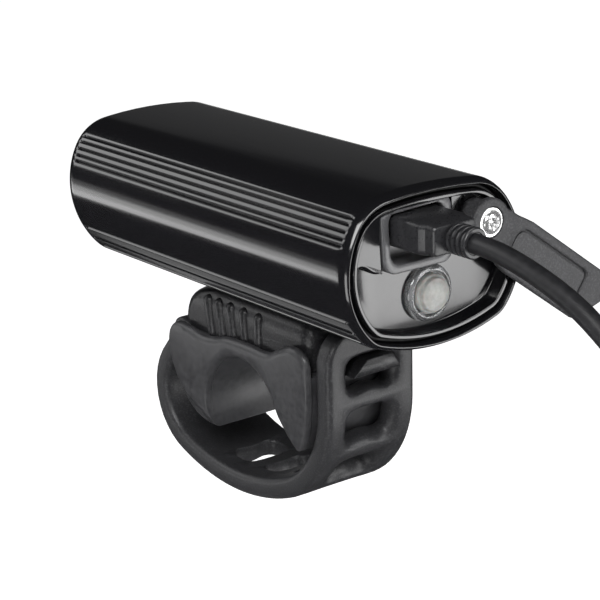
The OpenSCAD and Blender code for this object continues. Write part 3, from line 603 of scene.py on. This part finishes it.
disc_profile = ((0, 2), (4.8, 2), (4.8, 1.7), (4, 1.6), (4, -1.7), (3.93, -1.92), (3.75, -2.02),
                (3.55, -2.06), (3.46, -2.14), (3.42, -2.7), (3.3, -2.9), (3.05, -3.0), (2.9, -3.0),
                (2.8, -3.06), (2.0, -3.12), (0, -3.18))
bm = bmesh.new()
lathe(bm, disc_profile, 0, BUTTON_Z, FLOOR)
finish_lamp("button_disc", bm, "button", "milky", milky, ["button_cap"], sharp=50)

# %% [markdown]
# ## Cover screw
# The port cover turns on a chrome pan head screw with a flange and a six-lobe socket. The head is a stack of
# rings; the socket's rings have their radius swung six times round, which gives the lobes without a boolean.

# %% Chromed steel
chrome, tree, shader, place = start_finish("chromed_steel", {
    "Base Color": linear("#f2f2f2"), "Metallic": 0.85})
# Bright plated steel: strong reflections with soft edges, from the fine turning marks under the plating
uneven_gloss(tree, shader, place, 0.5, 2, (0.2, 0.24))
print("finish:", chrome.name)

# %% Cover screw
LOBES, RING_POINTS = 6, 72


def screw_ring(radius, y, lobe=0.0):
    """A circle about the screw; lobe swings its radius six times round."""
    ring = []
    for k in range(RING_POINTS):
        turn = tau * k / RING_POINTS
        r = radius + lobe * cos(LOBES * turn)
        ring.append(Vector((SCREW.x + r * cos(turn), y, SCREW.y + r * sin(turn))))
    return ring


shank_and_flange = ((1.45, -41), (1.45, -50.25), (2.95, -50.25), (3.03, -50.35), (3.03, -51.38),
                    (2.98, -51.48), (2.88, -51.52), (2.82, -51.525))
head = ((2.28, -51.53), (2.23, -51.56), (2.16, -51.8), (1.98, -52.06), (1.65, -52.26))
socket = ((1.27, -52.34, 0.2), (1.2, -52.28, 0.24), (1.18, -51.1, 0.24))
bm = bmesh.new()
loft(bm, [screw_ring(*step) for step in shank_and_flange + head + socket])
finish_lamp("cover_bolt", bm, "light", "chrome", chrome, ["cover_screw"])

# %% [markdown]
# ## Port cover
# The flap is a matte elastomer moulding: a round boss under the screw, a slight neck, and a long tab with a
# bare sunk panel and one slanted corner. It is drawn flat, with the boss at the origin, then turned to its
# open angle. Its face has two sunk places, so it is filled between three loops with one operator.

# %% Outlines of the port cover
# Soft elastomer from a fine-blasted tool: dark grey, dry, with a small even grain
cover_tpe = grained("moulded_elastomer_grained", {"IOR": 1.5},
                    0.36, 0.04, ("#2e2e30", "#4a4a4c"), (0.5, 0.65), 2, (0.45, 0.72))

ROUND = [7.5 * k for k in range(48)]
tab = rounded_outline([(5.2, -5.6, 0), (7.4, -6.4, 0), (10, -6.75, 0), (33.4, -6.8, 1.6), (39, 0.3, 1.6),
                       (39, 5, 3.5), (10.7, 5, 0), (8.4, 4.72, 0), (6.2, 4.4, 0), (4.2, 4.35, 0)])
cover_outline = circle(4.8, range(60, 296, 6)) + tab
panel = rounded_outline([(7.6, -5, 2.6), (31.6, -5, 1.6), (31.6, 3.2, 1.8), (7.6, 3.2, 3)])
bore = circle(3.25, ROUND)
post = circle(3.9, ROUND)
bung = rounded_box(5.8, 8.2, 1.5, 19.1, -0.15)
print("outline of the flap has", len(cover_outline), "points")

# %% Port cover
COVER_IN, COVER_OUT = -49.95, -51.65
COVER_ANGLE = radians(-35.5)


def cover_rings(outline, face, *steps):
    """Rings of an outline of the flap at (inset, y from a face), swung to the open angle about the screw."""
    c, s = cos(COVER_ANGLE), sin(COVER_ANGLE)
    return [[Vector((SCREW.x + c * p.x - s * p.y, face + y, SCREW.y + s * p.x + c * p.y))
             for p in inset(outline, step_in)] for step_in, y in steps]


bm = bmesh.new()
back_half = cover_rings(cover_outline, COVER_IN, (0.35, 0), (0.08, -0.1), (0, -0.4))
face_half = cover_rings(cover_outline, COVER_OUT, (0, 0.5), (0.1, 0.16), (0.45, 0))
back_loop, face_loop = loft(bm, back_half + face_half, ends="open")
sunk = cover_rings(panel, COVER_OUT, (0, 0), (0.12, 0.08), (0.22, 0.85), (0.62, 0.85), (0.78, 0.5))
panel_loop, panel_low = loft(bm, sunk, ends="open")
hole = cover_rings(bore, COVER_OUT, (0, 0), (0.05, 0.1), (0.05, 1.5))
bore_loop, bore_low = loft(bm, hole, ends="open")
for loop in (back_loop, panel_low, bore_low):
    bm.faces.new(loop)
face_edges = [edge for loop in (face_loop, panel_loop, bore_loop) for edge in ring_edges(bm, loop)]
bmesh.ops.triangle_fill(bm, use_beauty=True, edges=face_edges)
loft(bm, cover_rings(bung, COVER_IN, (0, -0.1), (0, 2.5), (0.4, 2.95)))
loft(bm, cover_rings(post, COVER_IN, (0, -0.1), (0, FLOOR - 0.12 - COVER_IN)))
finish_lamp("port_flap", bm, "port_cover", "cover_rubber", cover_tpe, ["port_cover"], sharp=50)

# %% [markdown]
# ## Charging plug
# The plug is moulded round its metal shell: a block, a pair of slanted facets, a second block a little
# narrower, and a ribbed boot. The block is lofted through rounded rectangles; the boot is a spun profile with
# four ribs.

# %% Plug block
# Injection-moulded PVC: black, silky, a fine uneven skin
plug_pvc = grained("moulded_pvc_satin", {"IOR": 1.52}, 0.5, 0.012, ("#232325", "#2e2e30"), (0.26, 0.36), 4)

plug_at = (PLUG_X, PLUG_Z - LIGHT.z)
plug_steps = ((-43.6, 12.4, 6.1, 1.1), (-43.9, 12.6, 6.3, 1.2), (-54.9, 12.6, 6.3, 1.2),
              (-55.15, 12.45, 6.26, 1.2), (-56.1, 10.95, 6.2, 1.15), (-56.3, 10.8, 6.18, 1.1),
              (-57.6, 10.8, 6.14, 1.1), (-58.15, 10.55, 5.9, 1.05), (-58.42, 10.1, 5.5, 0.9),
              (-58.5, 9.5, 5.0, 0.7))
bm = bmesh.new()
loft(bm, [at_y(rounded_box(width, height, radius, *plug_at), y) for y, width, height, radius in plug_steps])
finish_lamp("plug_block", bm, "plug", "plug_plastic", plug_pvc, ["plug_body"], sharp=30)

# %% Ribbed boot
RIBS, RIB_PITCH, RIB_START, BOOT_CORE = 4, 1.35, -58.5, 2.4
profile = [(0, -58.4), (BOOT_CORE, -58.4)]
for rib in range(RIBS):
    start = RIB_START - RIB_PITCH * rib
    profile += [(BOOT_CORE, start - 0.55), (2.48, start - 0.62), (2.95, start - 0.66), (3.06, start - 0.74),
                (3.08, start - 0.9), (3.08, start - 1.14), (3.02, start - 1.28), (2.9, start - RIB_PITCH)]
    if rib < RIBS - 1:
        profile += [(2.48, start - 1.38), (BOOT_CORE, start - 1.45)]
profile += [(2.9, -63.95), (2.8, -64.08), (2.25, -64.1), (2.1, -63.9), (0, -63.9)]
bm = bmesh.new()
lathe(bm, profile, *plug_at)
finish_lamp("plug_boot", bm, "plug", "plug_plastic", plug_pvc, ["strain_relief"], sharp=35)

# %% [markdown]
# ## Pedestal
# The pedestal is a nylon block with a long rounded nose, soft shoulders and five fanned grip ribs on each
# side. It could be carved with a bevelled cube, but its outline changes with height, so it is lofted upwards
# through rounded rectangles. A rear tongue holds the strap's slot and a front lug holds its pin.

# %% Pedestal block
# Glass-filled nylon from an eroded tool: near black, with painted glints that lighten the raised grain, drawn
# coarse to show
nylon_grain_painted_glints = grained("moulded_nylon_grain_and_painted_glints", {"IOR": 1.53},
                   0.4, 0.05, ("#1d1d1f", "#39393b"), (0.28, 0.46), 2, (0.5, 0.72))

BASE, BASE_HALF, BASE_REAR = 14.4, 10.8, 21.5
NOSE_TOP, NOSE_REACH, NOSE_HEIGHT = 10.2, 15, 10.15


def shoulder(z, start, height, depth):
    """How far a quarter ellipse has drawn in at z, `depth` mm at its top."""
    lift = max(0, z - start) / height
    return depth * (1 - sqrt(1 - lift * lift))


bm = bmesh.new()
rings = []
for z in (BASE, 15.6, 17, 18.4, 19.6, 20.6, 21.5, 22.3, 23, 23.6, 24.05, 24.35, 24.5):
    side = BASE_HALF - shoulder(z, 20.4, 4.15, 2.3)
    rear = BASE_REAR - shoulder(z, 20.8, 3.75, 2.4)
    nose = NOSE_TOP + NOSE_REACH * (1 - ((z - BASE) / NOSE_HEIGHT) ** 2.6) ** 0.385
    rings.append([Vector((p.x, p.y, z)) for p in rounded_outline(
        [(side, -rear, 3.6), (side, nose, 4.5), (-side, nose, 4.5), (-side, -rear, 3.6)], 8)])
loft(bm, rings)
print("pedestal block has", len(bm.faces), "faces")

# %% Ribs, tongue and lug
RIB_FOOT, RIB_RISE, RIB_RADIUS, RIB_X = 15, 8.2, 1.5, 10.05
PIN = Vector((23.8, 12.7))


def cross_cylinder(bm, radius, length, x):
    """A cylinder along X on the pin's axis, its middle at x."""
    verts = bmesh.ops.create_cone(bm, cap_ends=True, segments=40, radius1=radius, radius2=radius,
                                  depth=length)["verts"]
    bmesh.ops.rotate(bm, matrix=Matrix.Rotation(radians(90), 3, "Y"), verts=verts)
    bmesh.ops.translate(bm, vec=(x, PIN.x, PIN.y), verts=verts)
    return verts


for foot, head in ((-3.6, -3.7), (0.9, 1.7), (4.9, 6.5), (8.9, 10.7), (13, 14.5)):
    rise = hypot(head - foot, RIB_RISE) - RIB_RADIUS
    slant = Matrix.Rotation(-atan2(head - foot, RIB_RISE), 3, "X")
    for x in (-RIB_X, RIB_X):
        ball = bmesh.ops.create_uvsphere(bm, u_segments=24, v_segments=12, radius=RIB_RADIUS)["verts"]
        bmesh.ops.translate(bm, vec=(0, 0, rise), verts=[v for v in ball if v.co.z > 0.01])
        bmesh.ops.rotate(bm, verts=ball, matrix=slant)
        bmesh.ops.translate(bm, vec=(x, foot, RIB_FOOT), verts=ball)

tongue = [Vector(p) for p in ((-6, 14.5), (6, 14.5), (6, 15.7), (4.6, 17.5), (3.8, 18.1), (-2.6, 18.1))]
loft(bm, [at_y(inset(tongue, step_in), y)
          for y, step_in in ((-19, 0), (-29.1, 0), (-29.5, 0.1), (-29.65, 0.35))])
cross_cylinder(bm, 3.2, 6.8, 0)
web = [(24.8, 15.7), (16.8, 18.4), (16.8, 14.5), (22.8, 9.7)]
loft(bm, [[Vector((x, y, z)) for y, z in web] for x in (-3.4, 3.4)])
finish_piece("pedestal", bm, "mount", "pedestal_plastic", nylon_grain_painted_glints, ["mount_base"], sharp=50)

# %% [markdown]
# ## Saddle pad
# A rubber boot hugs the foot of the pedestal and sits on the handlebar with a round arch. Its two cheeks
# stand beside the pedestal and the strap, with a core between them. All three are outlines drawn sideways.
# The cheeks have a generous round, because the light edge of the rubber is what the eye reads here, and the
# tips of the legs are drawn in last.

# %% Outlines of the pad
# Moulded rubber from a smooth tool: dark grey, soft sheen, a little handling bloom
pad_rubber = grained("moulded_rubber_satin", {"IOR": 1.5}, 1.3, 0.014, ("#2e2e30", "#39393b"), (0.36, 0.46))

BAR = 12.7
arch = circle(BAR, range(152, -29, -4))
tip = [(11.2, -6.1), (12.2, -6.2), (13.6, -5.9), (15.6, -4.8)]
rear_leg = [(-22.85, 5.5), (-21.2, -0.8), (-19.8, -2.3), (-17.8, -1.3), (-15.1, 0.9), (-12.9, 3.2),
            (-11.3, 5.7)]
over = smooth_path(tip + [
    (18, -3), (20.1, -1.3), (22.2, 0.6), (24, 2.9), (25.6, 6), (26.6, 9.4), (26, 13.2), (23.4, 15.4),
    (18.5, 15.3), (14, 14.6), (9, 15.2), (5, 16.2), (-3, 16.5), (-9, 16.4), (-13, 18.2), (-17, 19.8),
    (-20.6, 19.2), (-22.85, 16.4)] + rear_leg)
cheek = over + arch
cheek_soft = [1.0 if p.y > 13 and p.x < 20 else 0.45 for p in over] + [0.55] * len(arch)
core_top = [(20.5, 1.5), (21.2, 6), (19.6, 10), (19, 14.3), (0, 14.3), (-22.8, 14.3)]
core = [Vector(p) for p in tip + core_top + rear_leg] + arch
print("outline of a cheek has", len(cheek), "points")

# %% Saddle pad
PAD_HALF, CHEEK_IN, CORE_HALF = 13.4, 11.75, 11.8
TIP_HALF, TIP_TOP, TIP_HEIGHT = 10.4, -1, 5.3


def slab(bm, outline, soft, x0, x1, outer, inner):
    """An outline in Y and Z drawn from x0 to x1, with the (inset, depth) of its outer and inner round."""
    share = [k * max(0.2, min(1, (p.y + 7) / 9)) for p, k in zip(outline, soft)]
    way = copysign(1, x1 - x0)
    rings = []
    for (wide, deep), edge, side in ((outer, x0, way), (inner, x1, -way)):
        steps = []
        for turn in (0, 22.5, 45, 67.5, 90):
            step_in = wide * (1 - sin(radians(turn)))
            down = deep * (1 - cos(radians(turn)))
            drawn = [p.lerp(q, k) for p, q, k in zip(outline, inset(outline, step_in), share)]
            steps.append([Vector((edge + side * down, p.x, p.y)) for p in drawn])
        rings += steps if edge == x0 else steps[::-1]
    loft(bm, rings)


bm = bmesh.new()
for side in (-1, 1):
    slab(bm, cheek, cheek_soft, side * PAD_HALF, side * CHEEK_IN, (1.7, 1.35), (0.3, 0.3))
slab(bm, core, [1.0] * len(core), -CORE_HALF, CORE_HALF, (0.1, 0.1), (0.1, 0.1))
for vert in bm.verts:
    drop = min(1, max(0, (TIP_TOP - vert.co.z) / TIP_HEIGHT))
    reach = TIP_HALF + (PAD_HALF - TIP_HALF) * sqrt(1 - drop * drop)
    vert.co.x = max(-reach, min(reach, vert.co.x))
finish_piece("bar_saddle", bm, "mount", "pad_rubber", pad_rubber, ["saddle_pad"], sharp=60)

# %% [markdown]
# ## Strap
# The strap is a thick rubber ladder: six slots between two rails, then a plain run to the pin. Modelling it
# in place would mean placing every slot by hand on a curve. It is built flat instead, one cell per slot, with
# x across, y along and z through it. Its free end gets round corners there, and then each point is carried to
# the strap's path round the bar.

# %% Cells of the ladder
# Tough rubber from a blasted tool: near black with a fine grain whose raised specks carry painted glints,
# drawn coarse enough to show
strap_rubber = grained("moulded_rubber_grain_and_painted_glints", {"IOR": 1.5},
                       0.36, 0.04, ("#262628", "#404042"), (0.36, 0.52), 2, (0.5, 0.74))

HALF, EDGE = 2.3, 11.5
CELL, SLOTS, LADDER = 11.4, 6, 1.5
across = (-EDGE, -9, -6.5, -3.8, -1.9, 0, 1.9, 3.8, 6.5, 9, EDGE)
slot_steps = ((HALF, 7.6, 4.85), (HALF - 0.3, 7.0, 4.45), (HALF - 0.9, 6.4, 4.1), (HALF - 1.8, 6.0, 3.85),
              (-HALF + 0.6, 5.8, 3.75), (-HALF, 6.1, 4.05))


def cell_ring(start, z):
    """The border of one cell, 32 points round."""
    along = [start + CELL * k / 6 for k in range(7)]
    return ([Vector((x, start, z)) for x in across[:-1]] + [Vector((EDGE, y, z)) for y in along[:-1]]
            + [Vector((x, start + CELL, z)) for x in across[:0:-1]]
            + [Vector((-EDGE, y, z)) for y in along[:0:-1]])


def slot_ring(start, z, half_width, half_height):
    """The slot in a cell: a soft rectangle, its lower edge raised a little in the middle."""
    ring = []
    middle = start + CELL / 2
    for p in cell_ring(start, z):
        u, v = p.x / EDGE, (p.y - middle) / (CELL / 2)
        size = (abs(u) ** 4 + abs(v) ** 4) ** 0.25
        x, y = half_width * u / size, half_height * v / size
        if y > 0:
            y -= 0.8 * max(0, 1 - (x / 4.5) ** 2) ** 2 * y / half_height
        ring.append(Vector((x, middle + y, z)))
    return ring


bm = bmesh.new()
for k in range(SLOTS):
    start = LADDER + CELL * k
    slot = [slot_ring(start, *step) for step in slot_steps]
    loft(bm, [cell_ring(start, HALF)] + slot + [cell_ring(start, -HALF)], ends="open")
bmesh.ops.remove_doubles(bm, verts=bm.verts, dist=1e-3)
print("ladder has", len(bm.faces), "faces")

# %% Flat strap
FREE_END, LADDER_END, PLAIN_END, EYE_END = -2.3, LADDER + SLOTS * CELL, 107.1, 110.7
CORNER, CORNER_START = 6.5, 4.2


def extend(bm, places, keep=0.0):
    """Draw the strap on from its row of edges at each place to the next, `keep` mm off the middle."""
    for here, there in zip(places, places[1:]):
        row = []
        for edge in bm.edges:
            a, b = (vert.co for vert in edge.verts)
            on_row = all(abs(p.y - here) < 1e-3 and abs(p.x) > keep - 0.01 for p in (a, b))
            if on_row and a.z * b.z > 0 and (keep == 0 or a.x * b.x > 0):
                row.append(edge)
        made = bmesh.ops.extrude_edge_only(bm, edges=row)["geom"]
        fresh = [item for item in made if isinstance(item, bmesh.types.BMVert)]
        bmesh.ops.translate(bm, vec=(0, there - here, 0), verts=fresh)


def round_edges(bm, edges, width, segments):
    """Bevel the edges to a round."""
    bmesh.ops.bevel(bm, geom=edges, offset=width, offset_type="OFFSET", segments=segments, profile=0.5,
                    affect="EDGES", clamp_overlap=True, material=-1)


extend(bm, (LADDER, 0.3, -1, FREE_END))
extend(bm, [LADDER_END + 2.1 * k for k in range(18)] + [PLAIN_END])
extend(bm, (PLAIN_END, 108.8, EYE_END), keep=3.8)
border = [e for e in bm.edges if len(e.link_faces) == 1]
bmesh.ops.bridge_loops(bm, edges=border)
bmesh.ops.recalc_face_normals(bm, faces=bm.faces)
round_edges(bm, [e for e in border if e.is_valid], 1.6, 5)
for y in (-1.9, -1.4, -0.7, 0, 0.8, 2.2, 3.4):
    bmesh.ops.bisect_plane(bm, geom=bm.verts[:] + bm.edges[:] + bm.faces[:], plane_co=(0, y, 0),
                           plane_no=(0, 1, 0), dist=1e-4)
for vert in bm.verts:
    if vert.co.y < CORNER_START:
        into_corner = CORNER_START - max(vert.co.y, FREE_END)
        vert.co.x *= (EDGE - CORNER + sqrt(CORNER ** 2 - into_corner ** 2)) / EDGE
print("flat strap has", len(bm.faces), "faces")

# %% Strap round the bar
STRAP_TOP = 21.4
REAR_RADIUS, LOW_RADIUS, FRONT_RADIUS = 22, 50, 12
low_at = Vector((7, 32.8))


def arc_centre(y, radius):
    """The centre, at y, of an arc that runs smoothly into the low arc."""
    return Vector((y, low_at.y - sqrt((LOW_RADIUS - radius) ** 2 - (y - low_at.x) ** 2)))


def turn_of(v):
    """The angle of a direction, counted on from a full turn."""
    return tau + atan2(v.y, v.x)


rear_at = arc_centre(-3.7, REAR_RADIUS)
front_at = arc_centre(21.2, FRONT_RADIUS)
rear_turn = turn_of(rear_at - low_at)
front_turn = turn_of(front_at - low_at)
to_pin = PIN - front_at
front_end = turn_of(to_pin) - acos(FRONT_RADIUS / to_pin.length)
rear_run = STRAP_TOP - rear_at.y
strap_arcs = ((rear_at, REAR_RADIUS, pi, rear_turn), (low_at, LOW_RADIUS, rear_turn, front_turn),
              (front_at, FRONT_RADIUS, front_turn, front_end))


def strap_place(s, off):
    """The point `s` mm along the strap and `off` mm outside its middle line, in Y and Z."""
    if s < rear_run:
        return Vector((rear_at.x - REAR_RADIUS - off, STRAP_TOP - s))
    s -= rear_run
    for centre, radius, a, b in strap_arcs:
        if s <= radius * (b - a) or centre is front_at:
            turn = a + min(s / radius, b - a)
            ahead = max(0, s - radius * (b - a))
            out = Vector((cos(turn), sin(turn)))
            return centre + (radius + off) * out + ahead * Vector((-out.y, out.x))
        s -= radius * (b - a)


for vert in bm.verts:
    spot = strap_place(vert.co.y, vert.co.z)
    vert.co = (vert.co.x, spot.x, spot.y)
for x in (-7.65, 7.65):
    eye = cross_cylinder(bm, 3.15, 7.7, x)
    rims = {e for v in eye for e in v.link_edges if e.calc_face_angle(0) > 1}
    round_edges(bm, list(rims), 0.7, 3)
finish_piece("ladder_strap", bm, "strap", "strap_rubber", strap_rubber, ["strap"], sharp=60)

# %% [markdown]
# ## Front of the lamp
# The picture does not show the front. Lamps of this kind have a window behind a sloped bezel, with two
# collimators. The bezel and window repeat the body's section; the optics are the CAD solids in clear plastic.

# %% Front bezel and window
BEZEL_FOOT = 42.05
bm = bmesh.new()
rings = front_rings((1.62, 1.7), (1.7, 1.4), (1.95, 1.24), (2.3, 1.22), (3.1, 1.5), (3.9, 2.3), (4.35, 3.2),
                    (4.45, 3.6))
loft(bm, [flat_ring(1.62, BEZEL_FOOT)] + rings + [flat_ring(4.45, BEZEL_FOOT)], ends="join")
finish_lamp("window_bezel", bm, "light", "gloss_black", gloss_black, ["front_bezel"], sharp=50)

bm = bmesh.new()
loft(bm, [flat_ring(1.9, 39.62), flat_ring(1.72, 39.8), flat_ring(1.72, 41.8), flat_ring(1.9, 41.98)])
finish_lamp("window", bm, "light", "clear", clear, ["front_lens"])

# %% [markdown]
# ## Cable tie and far plug
# The cable's unseen end is a rectangular charging plug, and a tie holds the coil. Both are merged copies of
# their CAD solids, which have the right sizes, with the small edge rounds that every moulding has.

# %% Merged copies with rounded edges
SHARP_EDGE = radians(40)


def softened_copy(node, width, name, slot, material):
    """A copy of a CAD node with flat faces merged and its sharp edges rounded."""
    bm = bmesh.new()
    bm.from_mesh(bpy.data.objects[node].data)
    bmesh.ops.scale(bm, vec=(1000, 1000, 1000), verts=bm.verts)
    bmesh.ops.remove_doubles(bm, verts=bm.verts, dist=0.001)
    bmesh.ops.dissolve_limit(bm, angle_limit=radians(1), verts=bm.verts, edges=bm.edges)
    edges = [e for e in bm.edges if len(e.link_faces) == 2 and e.calc_face_angle(0) > SHARP_EDGE]
    round_edges(bm, edges, width, 3)
    return finish_piece(name, bm, "plug", slot, material, [node])


tie = softened_copy("cable_tie", 0.5, "coil_tie", "plug_plastic", plug_pvc)
far_block = softened_copy("far_plug_body", 0.5, "far_plug", "plug_plastic", plug_pvc)

# %% [markdown]
# ## Finishes of the parts inside
# The parts inside are CAD solids whose shape is right. Each gets the finish of the thing it stands for, so
# that the part looks whole when it is opened or cut.

# %% Inner finishes
plated, tree, shader, place = start_finish("nickel_plated_steel", {
    "Base Color": linear("#c9cacc"), "Metallic": 1.0})
# Drawn and plated sheet: bright, with fine marks along the draw
uneven_gloss(tree, shader, place, 0.4, 2, (0.2, 0.36))
# Coated glass-fibre board: green lacquer with the weave just showing through
board = grained("fibreglass_solder_mask_green", {"IOR": 1.55}, 0.6, 0.01, ("#12402a", "#1a5636"), (0.3, 0.45))
# White lacquer on an aluminium-core board, slightly uneven
white_board = grained("solder_mask_white", {"IOR": 1.55}, 0.8, 0.008, ("#dcdcd8", "#eeeeea"), (0.35, 0.5))
# Phosphor in silicone: warm yellow, grainy
phosphor = grained("phosphor_silicone_yellow", {"IOR": 1.45}, 0.3, 0.01, ("#e0c85a", "#f0e08a"), (0.4, 0.55))
# Shrunk film on a cell: glossy blue with shrink marks
sleeve = grained("shrunk_pet_sleeve_blue", {"IOR": 1.57}, 2.5, 0.02, ("#34608f", "#3f70a4"), (0.22, 0.32))
# Stamped and plated contacts, lightly scuffed
brass = grained("gilt_brass", {"Metallic": 1.0}, 0.5, 0.006, ("#b8a25e", "#ccb878"), (0.25, 0.4))
# Faced aluminium plate, bright with fine tool marks
machined = grained("machined_aluminium", {"Metallic": 1.0}, 0.4, 0.01, ("#bdbfc2", "#cfd1d4"), (0.28, 0.42))

inside = {plated: ("strap_pin", "pivot_washer", "pivot_screw", "foot_screw_front", "foot_screw_rear",
                   "usb_receptacle", "plug_shell", "far_plug_shell"),
          nylon_grain_painted_glints: ("light_foot", "tact_switch", "battery_cradle"), board: ("main_board", "contact_board"),
          sleeve: ("cell_left", "cell_right"), brass: ("bus_bar",), machined: ("heat_sink",),
          white_board: ("led_board",), phosphor: ("led_left", "led_right"),
          clear: ("optic_left", "optic_right"), seal_silicone: ("lens_gasket",)}
for material, nodes in inside.items():
    for node in nodes:
        slots = bpy.data.objects[node].data.materials
        slots.clear()
        slots.append(material)
print("finishes inside:", len(inside))

# %% [markdown]
# ## Floor and studio light
# The photograph is a cut-out on white. A wide white floor far below and a round white backdrop give that
# background from every side. Neither shows in mirrors, so the lamps make every reflection: large soft ones
# stand behind and beside the camera, a low panel at the right rear is what the cap's floor mirrors, and
# strips and panels beyond the object draw the highlights along the body.

# %% Floor and backdrop
# Matte studio white that glows by itself, so that it stays white behind the object
floor_white = grained("studio_floor_white", {
    "Emission Color": linear("#ffffff"), "Emission Strength": 1.0},
    400, 0.01, ("#f4f4f4", "#ffffff"), (0.85, 0.95))
FLOOR_DROP, FLOOR_HALF = 0.45, 20
BACKDROP_RADIUS, BACKDROP_HEIGHT, BACKDROP_MIDDLE = 9, 10, 4.5
bm = bmesh.new()
bmesh.ops.create_grid(bm, x_segments=8, y_segments=8, size=FLOOR_HALF)
bmesh.ops.translate(bm, vec=(0, 0, -FLOOR_DROP), verts=bm.verts)
floor = add_mesh("floor", bm, floor_white)
floor.visible_glossy = False

bm = bmesh.new()
bmesh.ops.create_cone(bm, cap_ends=False, segments=64, radius1=BACKDROP_RADIUS, radius2=BACKDROP_RADIUS,
                      depth=BACKDROP_HEIGHT)
bmesh.ops.translate(bm, vec=(0, 0, BACKDROP_MIDDLE), verts=bm.verts)
backdrop = add_mesh("backdrop", bm, floor_white)
backdrop.visible_glossy = False
backdrop.visible_diffuse = False
backdrop.visible_shadow = False
print("floor and backdrop ready")

# %% Lamps
def softbox(name, spot, aim, size, radiance, turn=0):
    """A panel of light that faces its aim, turned in its plane; radiance is its look in a mirror."""
    data = bpy.data.lights.new(name, "AREA")
    data.shape = "RECTANGLE"
    data.size, data.size_y = size
    data.energy = radiance * pi * size[0] * size[1]
    lamp = bpy.data.objects.new(name, data)
    lamp.matrix_world = (Matrix.Translation(spot)
                         @ (Vector(aim) - Vector(spot)).to_track_quat("-Z", "Y").to_matrix().to_4x4()
                         @ Matrix.Rotation(radians(turn), 4, "Z"))
    lamp.visible_camera = False
    bpy.context.collection.objects.link(lamp)


softbox("key", (-0.9, -0.7, 1.1), (0, 0, 0.03), (0.9, 0.9), 8)
softbox("fill", (0.5, -1.3, 0.7), (0, 0, 0.03), (0.8, 0.8), 5)
softbox("low_panel", (0.5, -0.68, -0.2), (0, -0.05, 0.04), (0.42, 0.42), 4.6)
softbox("left_panel", (-0.95, -0.32, -0.2), (0, -0.05, 0.04), (0.3, 0.5), 4)
for strip, (height, radiance) in enumerate(((-0.172, 3.4), (-0.102, 2.2), (-0.032, 0.45))):
    softbox(f"side_strip_{strip}", (-0.6, 0.78, height), (-0.02, 0, 0.042), (0.7, 0.07), radiance)
softbox("land_panel", (-0.48, 0.74, 0.52), (-0.02, 0, 0.05), (0.6, 0.58), 2.2, 37)
softbox("under_panel", (0.1, 0.66, -0.6), (-0.02, 0, 0.03), (0.44, 0.3), 0.4)
softbox("edge_panel", (0.715, 0.814, -0.1), (0, 0, 0.055), (0.7, 0.26), 0.6)
softbox("crown_glow", (0.84, 1.18, 0.3), (0, 0, 0.05), (0.8, 0.5), 0.06)

world = bpy.data.worlds.new("studio")
world.use_nodes = True
world.node_tree.nodes["Background"].inputs["Color"].default_value = linear("#1c1c1d")
bpy.context.scene.world = world
bpy.context.scene.view_settings.view_transform = "Standard"
print("lamps:", len(bpy.data.lights))
